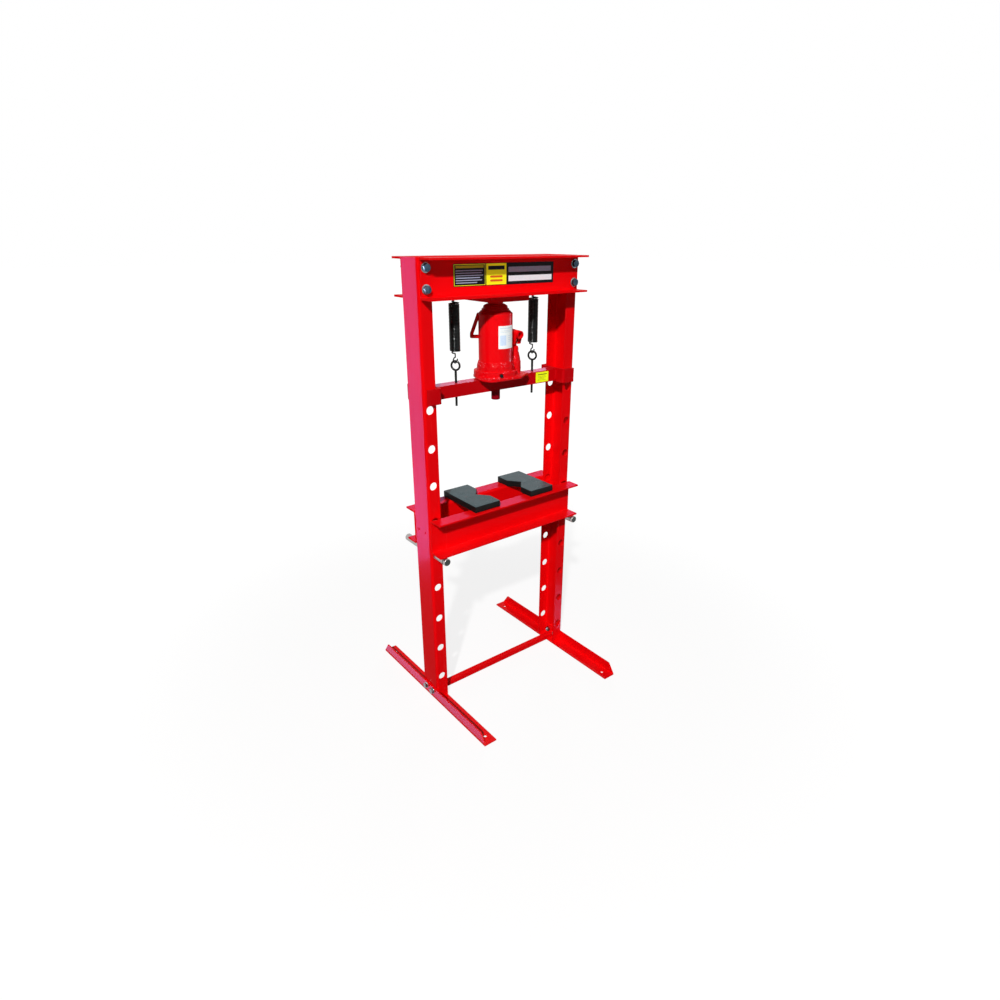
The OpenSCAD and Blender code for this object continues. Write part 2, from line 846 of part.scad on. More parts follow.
side_top_drop = 6;
side_slope_drop = 57;
side_post_drop = 14.5;
side_angle = -37;
module side_handle() {
    wall = tank_d / 2;
    top_z = tank_top_z - side_top_drop;
    out_z = top_z - side_slope_drop;
    low_z = out_z - side_post_drop;
    far = wall + side_reach - side_rod_d / 2;
    joint = side_rod_d / 2;
    rise = top_z - out_z;
    run = far - wall;
    color(dark_red)
    difference() {
        rotate([0, 0, side_angle])
            union() {
                translate([-far, 0, out_z]) sphere(d = side_rod_d, $fn = 32);
                translate([-far, 0, out_z])
                    rotate([0, atan2(run, rise), 0])
                        cylinder(h = sqrt(rise * rise + run * run) + joint, d = side_rod_d);
                translate([-far, 0, low_z + joint])
                    cylinder(h = out_z - low_z - joint, d = side_rod_d);
                translate([-far, 0, low_z + joint]) sphere(d = side_rod_d, $fn = 32);
                bar_x(-far, -wall + 3, 0, low_z + joint, side_rod_d);
            }
        translate([0, 0, base_top_z]) cylinder(h = tank_h + 20, d = tank_d + 2 * snug_gap);
    }
}

filler_angle = -128;
filler_z = tank_top_z - 8;
filler_d = 9;
filler_head_h = 2.5;
module filler_plug() {
    wall = tank_d / 2;
    color(black)
    rotate([0, 0, filler_angle]) {
        bar_x(wall - tank_t - 3, wall + 1, 0, filler_z, filler_d);
        bar_x(wall, wall + filler_head_h, 0, filler_z, filler_d + 3);
    }
}

jack_label_h = 69;
jack_label_sweep = 63;
jack_label_rise = 73;
jack_label_z0 = base_top_z + jack_label_rise;
module jack_label() {
    r = tank_d / 2 + label_gap;
    color("white")
    translate([0, 0, jack_label_z0])
        rotate([0, 0, -86 - jack_label_sweep / 2])
            rotate_extrude(angle = jack_label_sweep, $fn = 96)
                translate([r, 0]) square([label_t, jack_label_h]);
}

// ---- Pump plunger, lever and valve ----

plunger_foot = 8;
module pump_plunger() {
    top = plunger_pin_z + 8;
    z0 = base_top_z + plunger_foot;
    color(steel)
    difference() {
        translate([pump_x, 0, z0]) cylinder(h = top - z0, d = plunger_d);
        bar_x(pump_x - 20, pump_x + 20, 0, plunger_pin_z, lever_pin_d + 2 * snug_gap);
    }
}

module plunger_pin() {
    color(steel)
    bar_x(pump_x - cheek_out, pump_x + cheek_out, 0, plunger_pin_z, lever_pin_d);
}

// Lever: the handle socket tube carried by two cheeks, drawn with the fulcrum on the
// origin and the socket pointing to -Y, then sloped to its rest position
module handle_socket() {
    cheek = [[9, -8], [-38, -8], [-48, -2], [-49, socket_rise - 5.5], [-10, socket_rise - 15],
             [9, 9]];
    slot_y = -lever_arm + slot_shift;
    color(red)
    translate([pump_x, fulcrum_y, fulcrum_z])
        rotate([socket_tilt, 0, 0])
            difference() {
                union() {
                    translate([0, -socket_front, socket_rise])
                        rotate([-90 - socket_cock, 0, 0]) cylinder(h = socket_l, d = socket_d);
                    for (side = [-1, 1])
                        translate([side * (cheek_gap + cheek_t) / 2 - cheek_t / 2, 0, 0])
                            rotate([90, 0, 90]) linear_extrude(cheek_t) polygon(cheek);
                }
                translate([0, -socket_front, socket_rise])
                    rotate([-90 - socket_cock, 0, 0])
                        translate([0, 0, -1])
                            cylinder(h = socket_l - socket_end_t + 1, d = socket_bore);
                bar_x(-cheek_out, cheek_out, 0, 0, lever_pin_d + 2 * lever_pin_play);
                for (shift = [-slot_travel, slot_travel])
                    bar_x(-cheek_out, cheek_out, slot_y + shift, 0,
                          lever_pin_d + 2 * slot_play);
                translate([-cheek_out, slot_y - slot_travel, -lever_pin_d / 2 - slot_play])
                    cube([2 * cheek_out, 2 * slot_travel, lever_pin_d + 2 * slot_play]);
            }
}

module release_valve() {
    r = valve_d / 2;
    tip = base_d / 2 - valve_depth;
    out = base_d / 2 + valve_out;
    color(black)
    rotate([0, 0, valve_angle])
        difference() {
            translate([tip, 0, valve_z])
                rotate([0, 90, 0])
                    rotate_extrude()
                        polygon([[0, 0], [r - 3, 3], [r, 3], [r, out - tip - 1],
                                 [r - 1, out - tip], [0, out - tip]]);
            translate([out - 3, -1.25, valve_z - r - 1]) cube([4, 2.5, valve_d + 2]);
        }
}

post_left();
post_right();
top_channel_front();
top_channel_rear();
head_plate();
spring_hanger_rods();
top_bolts();
top_washers();
top_nuts();
foot_left();
foot_right();
foot_bolts();
foot_washers();
foot_nuts();
cross_brace();
brace_end_plates();
name_label();
jack_ram();
jack_saddle();
ram_seal();
spring_left();
spring_right();
table_channel_front();
table_channel_rear();
table_spacer_left();
table_spacer_right();
arbor_plate_left();
arbor_plate_right();
table_pin_left();
table_pin_right();
crossbeam();
guide_left();
guide_right();
press_pin();
eye_bolt_left();
eye_bolt_right();
beam_label();
jack_base();
jack_reservoir();
jack_cylinder();
jack_top_nut();
pump_cylinder();
pump_gland();
fulcrum_link();
link_pin();
fulcrum_pin();
side_handle();
filler_plug();
jack_label();
pump_plunger();
plunger_pin();
handle_socket();
release_valve();
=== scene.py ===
"""Workshop H-frame press, dressed: rounded edges, paint, plated steel, springs and panels.

Everything is in metres in the frame of the solids: X along the beams, -Y the front, Z up.
Small parts are drawn in millimetres and multiplied by MM.
"""
import bpy
import bmesh
import json
import math
from mathutils import Matrix, Vector, noise as waves

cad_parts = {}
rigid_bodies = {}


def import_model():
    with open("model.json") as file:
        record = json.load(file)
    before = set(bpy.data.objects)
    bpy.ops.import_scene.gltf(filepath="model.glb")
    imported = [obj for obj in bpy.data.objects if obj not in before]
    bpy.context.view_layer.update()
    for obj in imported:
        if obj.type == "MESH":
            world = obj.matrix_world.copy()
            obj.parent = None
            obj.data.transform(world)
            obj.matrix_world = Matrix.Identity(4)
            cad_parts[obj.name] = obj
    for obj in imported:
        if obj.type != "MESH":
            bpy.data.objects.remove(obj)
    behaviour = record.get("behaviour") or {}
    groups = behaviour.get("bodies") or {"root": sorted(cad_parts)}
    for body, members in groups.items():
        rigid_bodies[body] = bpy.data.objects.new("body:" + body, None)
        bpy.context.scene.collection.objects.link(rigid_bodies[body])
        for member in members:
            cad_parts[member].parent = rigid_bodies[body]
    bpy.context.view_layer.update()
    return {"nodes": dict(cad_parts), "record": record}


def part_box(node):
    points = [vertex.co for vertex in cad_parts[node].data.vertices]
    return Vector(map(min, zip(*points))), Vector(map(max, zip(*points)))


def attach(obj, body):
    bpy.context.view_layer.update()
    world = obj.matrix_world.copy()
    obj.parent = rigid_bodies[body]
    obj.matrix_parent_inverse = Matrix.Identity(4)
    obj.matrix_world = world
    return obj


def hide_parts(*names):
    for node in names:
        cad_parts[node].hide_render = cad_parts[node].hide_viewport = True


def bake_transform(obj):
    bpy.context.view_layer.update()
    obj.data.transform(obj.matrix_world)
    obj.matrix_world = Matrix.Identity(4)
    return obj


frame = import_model()
NODES = frame["nodes"]
BODY_OF = {node: body
           for body, members in frame["record"]["behaviour"]["bodies"].items()
           for node in members}
MM = 0.001


def at(node, side):
    """A face of a solid's box in millimetres; the side is an axis and its end, as in "Y-"."""
    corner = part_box(node)["-+".index(side[1])]
    return round(corner["XYZ".index(side[0])] / MM, 3)


# ------ node helpers

KINDS = {float: "NodeSocketFloat", int: "NodeSocketInt", tuple: "NodeSocketVector"}
GEOMETRY, MATERIAL, ROTATION = "NodeSocketGeometry", "NodeSocketMaterial", "NodeSocketRotation"


def wire(tree, output, socket):
    tree.links.new(output, socket)


def plug(tree, value, socket):
    """Links a value that comes from a node, and sets any other on the socket itself."""
    if isinstance(value, bpy.types.NodeSocket):
        tree.links.new(value, socket)
    else:
        socket.default_value = value


def feed(tree, node, **values):
    """Plugs values into sockets by name, with _ for a blank."""
    for key, value in values.items():
        plug(tree, value, node.inputs[key.replace("_", " ")])
    return node


def step(tree, kind, first=None, mode=None, **values):
    """A node's outputs: its first input linked, its mode chosen and the rest fed by name."""
    made = tree.nodes.new(kind)
    if mode:
        made.mode = mode
    if first is not None:
        wire(tree, first, made.inputs[0])
    return feed(tree, made, **values).outputs


def maths(tree, operation, a, b=None, clamp=False):
    node = tree.nodes.new("ShaderNodeMath")
    node.operation = operation
    node.use_clamp = clamp
    plug(tree, a, node.inputs[0])
    if b is not None:
        plug(tree, b, node.inputs[1])
    return node.outputs[0]


def plus(tree, a, b, clamp=False):
    return maths(tree, "ADD", a, b, clamp)


def less(tree, a, b, clamp=False):
    return maths(tree, "SUBTRACT", a, b, clamp)


def times(tree, a, b, clamp=False):
    return maths(tree, "MULTIPLY", a, b, clamp)


def add_up(tree, total, *shares, clamp=False):
    """The start value plus each (value, weight); clamp keeps the total between 0 and 1."""
    for count, (value, weight) in enumerate(shares, 1):
        total = plus(tree, total, times(tree, value, weight), clamp and count == len(shares))
    return total


def remap(tree, value, low, high, to_low=0.0, to_high=1.0, smooth=True):
    """The value's way from low to high, as 0 to 1 or another span, held outside."""
    node = tree.nodes.new("ShaderNodeMapRange")
    node.interpolation_type = "SMOOTHSTEP" if smooth else "LINEAR"
    feed(tree, node, Value=value, From_Min=low, From_Max=high, To_Min=to_low, To_Max=to_high)
    return node.outputs[0]


def mix_colour(tree, share, a, b):
    """From colour a to colour b; a plain colour is three numbers."""
    node = tree.nodes.new("ShaderNodeMix")
    node.data_type = "RGBA"
    for value, slot in ((share, 0), (a, 6), (b, 7)):
        plug(tree, (*value, 1) if isinstance(value, tuple) else value, node.inputs[slot])
    return node.outputs[2]


def lay_over(tree, base, *layers):
    """The base colour with each (mask, weight, colour) laid over it in turn."""
    for mask, weight, colour in layers:
        base = mix_colour(tree, times(tree, mask, weight), base, colour)
    return base


def noise(tree, coords, scale, detail=3.0, roughness=0.5, stretch=None):
    """Cloudy noise from 0 to 1; a stretch below 1 draws it out along that axis."""
    if stretch is not None:
        coords = step(tree, "ShaderNodeMapping", Vector=coords, Scale=stretch)[0]
    return step(tree, "ShaderNodeTexNoise", Vector=coords, Scale=scale, Detail=detail,
                Roughness=roughness)["Fac"]


def normal(tree):
    return tree.nodes.new("ShaderNodeNewGeometry").outputs["Normal"]


def facing(tree, axis):
    """How far the surface faces along an axis, from -1 to 1."""
    return step(tree, "ShaderNodeSeparateXYZ", normal(tree))[axis]


def add_inputs(tree, inputs):
    """Input sockets {name: default}; a kind of socket stands for one that has no default."""
    for name, default in inputs.items():
        kind = KINDS.get(type(default), default)
        socket = tree.interface.new_socket(name, in_out="INPUT", socket_type=kind)
        if kind is not default:
            socket.default_value = default


def group(name, inputs, *outputs):
    """An empty shader group with Coords, the named inputs and outputs that are numbers."""
    tree = bpy.data.node_groups.new(name, "ShaderNodeTree")
    add_inputs(tree, {"Coords": KINDS[tuple], **inputs})
    for output in outputs:
        tree.interface.new_socket(output, in_out="OUTPUT", socket_type=KINDS[float])
    given = tree.nodes.new("NodeGroupInput").outputs
    return tree, given, given["Coords"], tree.nodes.new("NodeGroupOutput").inputs


# ------ shared surface effects

def build_edge_wear():
    """Where a rounded edge is, broken up by noise: 0 on flats, 1 on a rubbed edge."""
    tree, given, coords, result = group(
        "edge wear", {"Radius": 0.0015, "Amount": 0.5, "Break Up": 90.0}, "Mask")
    bevel = tree.nodes.new("ShaderNodeBevel")
    bevel.samples = 4
    wire(tree, given["Radius"], bevel.inputs["Radius"])
    dot = tree.nodes.new("ShaderNodeVectorMath")
    dot.operation = "DOT_PRODUCT"
    wire(tree, bevel.outputs[0], dot.inputs[0])
    wire(tree, normal(tree), dot.inputs[1])
    edge = remap(tree, less(tree, 1.0, dot.outputs["Value"], clamp=True), 0.02, 0.22)
    patches = noise(tree, coords, given["Break Up"], 4.0, 0.65)
    rubbed = less(tree, patches, less(tree, 1.0, given["Amount"]))
    wire(tree, times(tree, edge, remap(tree, rubbed, -0.16, 0.14)), result["Mask"])
    return tree


def build_settled_dust():
    """Dust on what faces up, in patches and specks."""
    tree, given, coords, result = group(
        "settled dust", {"Amount": 0.3, "Scale": 14.0}, "Mask")
    upward = remap(tree, facing(tree, "Z"), 0.35, 0.95)
    patches = remap(tree, noise(tree, coords, given["Scale"], 6.0, 0.62), 0.35, 0.75)
    specks = remap(tree, noise(tree, coords, 900.0, 1.0), 0.52, 0.72)
    spread = add_up(tree, times(tree, patches, 0.7), (specks, 0.3))
    wire(tree, times(tree, times(tree, upward, spread), given["Amount"], clamp=True),
         result["Mask"])
    return tree


def build_handling():
    """Smears, fine scratches and slow tone changes that any used surface has."""
    tree, given, coords, result = group(
        "handling marks", {"Smear Scale": 9.0, "Scratch Scale": 160.0},
        "Smear", "Scratch", "Tone")
    smear = noise(tree, coords, given["Smear Scale"], 5.0, 0.6, (1.0, 1.0, 0.45))
    wire(tree, remap(tree, smear, 0.32, 0.72), result["Smear"])
    upright = noise(tree, coords, given["Scratch Scale"], 2.0, 0.5, (1.0, 1.0, 0.04))
    across = noise(tree, coords, given["Scratch Scale"], 2.0, 0.5, (0.05, 0.6, 1.0))
    both = maths(tree, "MAXIMUM", remap(tree, upright, 0.66, 0.72),
                 remap(tree, across, 0.67, 0.73))
    gate = remap(tree, noise(tree, coords, 6.0, 2.0), 0.5, 0.66)
    wire(tree, times(tree, both, gate), result["Scratch"])
    wire(tree, noise(tree, coords, 2.6, 2.0), result["Tone"])
    return tree


def build_orange_peel():
    """The slight waviness of sprayed gloss paint, with a few sags and specks."""
    tree, given, coords, result = group(
        "orange peel", {"Peel Scale": 260.0, "Sag": 0.3}, "Height")
    peel = noise(tree, coords, given["Peel Scale"], 2.0, 0.4)
    sag = noise(tree, coords, 26.0, 2.0, 0.5, (1.0, 1.0, 0.22))
    nib = remap(tree, noise(tree, coords, 420.0, 1.0), 0.72, 0.80)
    wire(tree, add_up(tree, peel, (sag, given["Sag"]), (nib, 0.6)), result["Height"])
    return tree


def build_cast_skin():
    """Sand-cast roughness under paint: lumps and pits."""
    tree, given, coords, result = group(
        "cast skin", {"Lump Scale": 120.0, "Pit": 0.5}, "Height")
    lumps = noise(tree, coords, given["Lump Scale"], 4.0, 0.6)
    pits = step(tree, "ShaderNodeTexVoronoi", Vector=coords, Scale=330.0)["Distance"]
    wire(tree, add_up(tree, lumps, (remap(tree, pits, 0.0, 0.35), given["Pit"])),
         result["Height"])
    return tree


def build_tool_marks():
    """Fine rings or strokes left by turning or grinding, across a chosen direction."""
    tree, given, coords, result = group(
        "tool marks", {"Stretch": (1.0, 30.0, 1.0), "Scale": 60.0}, "Marks")
    wire(tree, noise(tree, coords, given["Scale"], 3.0, 0.6, given["Stretch"]),
         result["Marks"])
    return tree


EDGE_WEAR = build_edge_wear()
SETTLED_DUST = build_settled_dust()
HANDLING = build_handling()
ORANGE_PEEL = build_orange_peel()
CAST_SKIN = build_cast_skin()
TOOL_MARKS = build_tool_marks()


def use(tree, shared, **values):
    """A shared group set in a tree with its own values: its outputs."""
    node = tree.nodes.new("ShaderNodeGroup")
    node.node_tree = shared
    return feed(tree, node, **values).outputs


def blank(name):
    """A new material: its tree, its Principled shader and its Object coordinates."""
    material = bpy.data.materials.new(name)
    material.use_nodes = True
    tree = material.node_tree
    coords = tree.nodes.new("ShaderNodeTexCoord").outputs["Object"]
    return material, tree, tree.nodes["Principled BSDF"], coords


def raise_bump(tree, shader, height, strength, distance):
    """Fine relief on the surface, without a change of shape."""
    bump = step(tree, "ShaderNodeBump", Strength=strength, Distance=distance, Height=height)
    wire(tree, bump[0], shader.inputs["Normal"])


# ------ materials

DUST_TINT = (0.55, 0.38, 0.36)
PRIMER = (0.30, 0.20, 0.19)
# pale pink for the painted highlights on the casting
PAINTED_GLINT_PINK = (1.0, 0.36, 0.46)
DULL_ZINC = (0.36, 0.39, 0.42)
OIL_FILM = (0.40, 0.37, 0.33)
RUST = (0.20, 0.10, 0.05)
SAWN_GREY = (0.045, 0.055, 0.052)
BARE_WIRE = (0.16, 0.15, 0.14)
BARE_PLATE = (0.20, 0.22, 0.22)


def painted_glints(tree, coords):
    """Painted highlights: clusters of pale pink flecks in the base colour on the shoulders of a
    casting, standing in for gloss glinting on its lumps.
    """
    shoulder = remap(tree, facing(tree, "Z"), 0.10, 0.32)
    glint_spot = remap(tree, noise(tree, coords, 270.0, 2.0), 0.60, 0.68)
    cluster = remap(tree, noise(tree, coords, 30.0, 2.0), 0.44, 0.60)
    return times(tree, times(tree, shoulder, cluster), glint_spot)


def gloss_paint(name, colour, deep, wear=0.34, dust=0.018, peel=0.16, cast=False, coat=0.035):
    """Sprayed enamel over steel: clear gloss, thin grey wear on the edges."""
    material, tree, shader, coords = blank(name)
    marks = use(tree, HANDLING, Coords=coords)
    worn = use(tree, EDGE_WEAR, Coords=coords, Amount=wear)["Mask"]
    dusty = use(tree, SETTLED_DUST, Coords=coords, Amount=dust)["Mask"]
    base = mix_colour(tree, remap(tree, marks["Tone"], 0.3, 0.7), deep, colour)
    base = lay_over(tree, base, (marks["Scratch"], 0.16, (colour[0] * 1.05, 0.07, 0.07)),
                    (dusty, 1.0, DUST_TINT), (worn, 0.8, PRIMER))
    # A casting also gets painted highlights: pale pink flecks laid into its base colour.
    if cast:
        base = mix_colour(tree, painted_glints(tree, coords), base, PAINTED_GLINT_PINK)
    rough = add_up(tree, 0.30, (marks["Smear"], 0.10), (marks["Scratch"], 0.12),
                   (dusty, 0.8), (worn, 0.25), clamp=True)
    clean = less(tree, 1.0, plus(tree, worn, dusty, clamp=True), clamp=True)
    feed(tree, shader, Base_Color=base, Roughness=rough, Coat_Weight=times(tree, clean, coat),
         Coat_Roughness=0.08, Coat_IOR=1.5, Specular_IOR_Level=0.008)
    skin, strength, depth = (CAST_SKIN, 0.9, 0.0016) if cast else (ORANGE_PEEL, peel, 0.0006)
    raise_bump(tree, shader, use(tree, skin, Coords=coords)["Height"], strength, depth)
    return material


def zinc_plate(name, deep, pale):
    """Zinc plating: slightly blue, with dull patches and grey rubbed corners."""
    material, tree, shader, coords = blank(name)
    smear = use(tree, HANDLING, Coords=coords, Smear_Scale=60.0)["Smear"]
    worn = use(tree, EDGE_WEAR, Coords=coords, Radius=0.0008, Amount=0.6)["Mask"]
    grain = noise(tree, coords, 700.0, 2.0)
    base = mix_colour(tree, smear, deep, pale)
    feed(tree, shader, Base_Color=lay_over(tree, base, (worn, 0.5, DULL_ZINC)), Metallic=1.0,
         Roughness=add_up(tree, 0.22, (smear, 0.14), (grain, 0.08)))
    raise_bump(tree, shader, grain, 0.12, 0.0002)
    return material


def turned_steel(name, stretch, tint, roughness=0.20, rust=0.0, sawn="Z", sawn_tone=0.0):
    """Bare turned or ground bar: fine rings, an oily film and small dark freckles.

    sawn is the axis that the bar runs along; sawn_tone darkens its two cut ends.
    """
    material, tree, shader, coords = blank(name)
    smear = use(tree, HANDLING, Coords=coords, Smear_Scale=24.0)["Smear"]
    rings = use(tree, TOOL_MARKS, Coords=coords, Stretch=stretch)["Marks"]
    freckle = remap(tree, noise(tree, coords, 140.0, 4.0, 0.6), 0.62, 0.74)
    freckle = times(tree, freckle, rust)
    cut_end = remap(tree, maths(tree, "ABSOLUTE", facing(tree, sawn)), 0.85, 0.97)
    base = mix_colour(tree, remap(tree, rings, 0.3, 0.7), tuple(0.72 * c for c in tint), tint)
    base = lay_over(tree, base, (smear, 0.25, OIL_FILM), (freckle, 1.0, RUST),
                    (cut_end, sawn_tone, SAWN_GREY))
    feed(tree, shader, Base_Color=base, Metallic=less(tree, 1.0, freckle, clamp=True),
         Roughness=add_up(tree, roughness, (rings, 0.16), (smear, 0.10)))
    raise_bump(tree, shader, rings, 0.25, 0.0002)
    return material


def black_wire():
    """Black-oxided spring wire: satin, oily, a little brown where it is rubbed."""
    material, tree, shader, coords = blank("black spring wire")
    marks = use(tree, HANDLING, Coords=coords, Smear_Scale=40.0)
    base = mix_colour(tree, marks["Smear"], (0.005, 0.0065, 0.0065), (0.016, 0.019, 0.019))
    feed(tree, shader, Base_Color=lay_over(tree, base, (marks["Scratch"], 0.5, BARE_WIRE)),
         Roughness=add_up(tree, 0.11, (marks["Smear"], 0.08)), Specular_IOR_Level=0.11)
    raise_bump(tree, shader, noise(tree, coords, 520.0), 0.015, 0.0003)
    return material


def coated_plate():
    """Arbor plates: a glossy dark coat on top, saw-cut sides, chipped corners."""
    material, tree, shader, coords = blank("dark plate coat")
    smear = use(tree, HANDLING, Coords=coords, Smear_Scale=22.0)["Smear"]
    worn = use(tree, EDGE_WEAR, Coords=coords, Amount=0.5, Radius=0.0018)["Mask"]
    cut = use(tree, TOOL_MARKS, Coords=coords, Stretch=(1.0, 1.0, 22.0), Scale=45.0)["Marks"]
    top = remap(tree, facing(tree, "Z"), 0.5, 0.9)
    mottle = remap(tree, noise(tree, coords, 34.0, 6.0, 0.6), 0.3, 0.7)
    face = mix_colour(tree, mottle, (0.052, 0.094, 0.106), (0.072, 0.120, 0.136))
    side = mix_colour(tree, remap(tree, cut, 0.35, 0.65), (0.003, 0.003, 0.003),
                      (0.010, 0.010, 0.010))
    base = lay_over(tree, mix_colour(tree, top, side, face), (worn, 0.5, BARE_PLATE))
    rough = remap(tree, top, 0.0, 1.0, 0.46, 0.20, smooth=False)
    feed(tree, shader, Base_Color=base, Roughness=add_up(tree, rough, (smear, 0.12)),
         Specular_IOR_Level=0.10)
    raise_bump(tree, shader, plus(tree, times(tree, cut, 0.7), mottle), 0.16, 0.0006)
    return material


def printed_film(name, colour, scuff, glow=0.0):
    """A flat ink or vinyl field, with faint print mottle and scuffs; glow is painted light, an
    emission that brightens it as though it were more lit.
    """
    material, tree, shader, coords = blank(name)
    marks = use(tree, HANDLING, Coords=coords, Smear_Scale=50.0, Scratch_Scale=320.0)
    mottle = noise(tree, coords, 240.0)
    base = mix_colour(tree, remap(tree, mottle, 0.3, 0.7), tuple(0.92 * c for c in colour),
                      colour)
    base = lay_over(tree, base, (marks["Scratch"], 0.35, scuff))
    # The emission is painted light that brightens the ink.
    feed(tree, shader, Base_Color=base, Emission_Color=base, Emission_Strength=glow,
         Roughness=add_up(tree, 0.32, (marks["Smear"], 0.15)), Specular_IOR_Level=0.06)
    raise_bump(tree, shader, mottle, 0.05, 0.0002)
    return material


def seal_rubber():
    """Matt black rubber with a fine grain."""
    material, tree, shader, coords = blank("seal rubber")
    grain = noise(tree, coords, 400.0, 4.0)
    feed(tree, shader, Roughness=remap(tree, grain, 0.2, 0.8, 0.5, 0.7),
         Base_Color=mix_colour(tree, grain, (0.015, 0.015, 0.015), (0.04, 0.04, 0.04)))
    raise_bump(tree, shader, grain, 0.2, 0.0003)
    return material


RED = (0.93, 0.0012, 0.0035), (0.84, 0.0010, 0.0030)
FRAME_RED = gloss_paint("frame enamel", *RED)
FOOT_RED = gloss_paint("foot enamel", *RED, coat=0.16)
CROSSHEAD_RED = gloss_paint("crosshead enamel", (0.62, 0.0010, 0.0040), (0.52, 0.0008, 0.0034),
                            dust=0.03)
# The press pin's red is darkened as painted shade, for the shade of the crossbeam and the jack's
# base above it.
PIN_RED_PAINTED_SHADE = gloss_paint("press pin enamel", (0.30, 0.0008, 0.0090), (0.24, 0.0007, 0.0070),
                       dust=0.03)
JACK_RED = gloss_paint("jack enamel", (0.93, 0.0012, 0.0045), (0.82, 0.0010, 0.0035), peel=0.10,
                       coat=0.09)
CAST_RED = gloss_paint("casting enamel", (0.90, 0.0014, 0.0060), (0.66, 0.0010, 0.0040),
                       cast=True, wear=0.30, dust=0.01, coat=0.10)
ZINC = zinc_plate("pale zinc plate", (0.17, 0.20, 0.22), (0.42, 0.45, 0.46))
# The top bolts' zinc is darkened to navy as a painted dark reflection; the plating itself is the
# pale zinc above.
ZINC_DARKENED_AS_REFLECTION = zinc_plate("blued zinc plate", (0.022, 0.042, 0.066), (0.075, 0.110, 0.150))
PIN_STEEL = turned_steel("turned pin steel", (1.0, 30.0, 1.0), (0.50, 0.48, 0.48), rust=0.25,
                         sawn="Y", sawn_tone=0.95)
RAM_STEEL = turned_steel("ground ram steel", (1.0, 1.0, 30.0), (0.62, 0.62, 0.63), 0.14)
SMALL_STEEL = turned_steel("small pin steel", (30.0, 1.0, 1.0), (0.50, 0.50, 0.51), rust=0.4)
SPRING_BLACK = black_wire()
PLATE_BLACK = coated_plate()
# A fourth number is an ink's glow: painted light that brightens it.
INK_BLACK = printed_film("panel black", (0.005, 0.005, 0.008), (0.255, 0.255, 0.258))
INK_PALE = printed_film("panel pale ink", (0.80, 0.88, 0.94), (1.0, 1.0, 1.0), 0.10)
INK_GREY = printed_film("panel grey ink", (0.38, 0.46, 0.62), (0.63, 0.71, 0.87), 0.06)
INK_YELLOW = printed_film("panel yellow", (0.88, 0.90, 0.015), (0.9, 0.85, 0.4), 0.22)
INK_OCHRE = printed_film("panel ochre", (0.50, 0.50, 0.02), (0.6, 0.55, 0.3), 0.08)
INK_OLIVE = printed_film("tag olive ink", (0.30, 0.34, 0.01), (0.5, 0.5, 0.2))
INK_MIST = printed_film("jack tag pale ink", (0.68, 0.74, 0.80), (0.6, 0.6, 0.6), 0.22)
INK_SKY = printed_film("jack tag blue ink", (0.62, 0.76, 0.95), (0.6, 0.7, 0.8), 0.22)
INK_LIME = printed_film("tag yellow", (0.84, 0.95, 0.012), (0.9, 0.9, 0.4), 0.40)
INK_RED = printed_film("panel orange ink", (0.75, 0.16, 0.02), (0.9, 0.5, 0.3))
FILM_WHITE = printed_film("jack label film", (0.89, 0.95, 0.95), (0.60, 0.62, 0.63), 0.22)
SEAL = seal_rubber()


# ------ geometry trees and meshes

def new_object(name, data):
    made = bpy.data.objects.new(name, data)
    bpy.context.scene.collection.objects.link(made)
    return made


def to_mesh(work, name):
    mesh = bpy.data.meshes.new(name)
    work.to_mesh(mesh)
    work.free()
    return mesh


def baked(piece):
    """The piece with its modifiers applied, as a plain mesh."""
    graph = bpy.context.evaluated_depsgraph_get()
    mesh = bpy.data.meshes.new_from_object(piece.evaluated_get(graph))
    mesh.name = piece.name
    piece.modifiers.clear()
    piece.data = mesh
    return piece


def shape_tree(name, inputs):
    """An empty geometry tree with the named inputs and one for the piece's material."""
    tree = bpy.data.node_groups.new(name, "GeometryNodeTree")
    add_inputs(tree, {"Geometry": GEOMETRY, **inputs, "Finish": MATERIAL})
    tree.interface.new_socket("Geometry", in_out="OUTPUT", socket_type=GEOMETRY)
    given = tree.nodes.new("NodeGroupInput").outputs
    return tree, given, tree.nodes.new("NodeGroupOutput").inputs["Geometry"]


def finish_tree(tree, geometry, given, result):
    """Ends a tree with real geometry, shaded smooth, in the material that is given."""
    whole = step(tree, "GeometryNodeRealizeInstances", geometry)[0]
    smooth = step(tree, "GeometryNodeSetShadeSmooth", whole)[0]
    wire(tree, step(tree, "GeometryNodeSetMaterial", smooth, Material=given["Finish"])[0],
         result)
    return tree


def grown(tree, name, source, **values):
    """The tree's result on a source mesh, as a plain mesh."""
    piece = new_object(name, source)
    modifier = piece.modifiers.new(tree.name, "NODES")
    modifier.node_group = tree
    for item in tree.interface.items_tree:
        key = item.name.replace(" ", "_")
        if item.item_type == "SOCKET" and item.in_out == "INPUT" and key in values:
            modifier[item.identifier] = values[key]
    return baked(piece)


def build_wire_tree():
    """A round rod or wire swept along a line, with closed ends."""
    tree, given, result = shape_tree("wire along a line", {"Wire Radius": 0.002, "Sides": 12})
    line = step(tree, "GeometryNodeMeshToCurve", given["Geometry"])[0]
    ring = step(tree, "GeometryNodeCurvePrimitiveCircle", Resolution=given["Sides"],
                Radius=given["Wire Radius"])[0]
    body = step(tree, "GeometryNodeCurveToMesh", line, Profile_Curve=ring, Fill_Caps=True)[0]
    return finish_tree(tree, body, given, result)


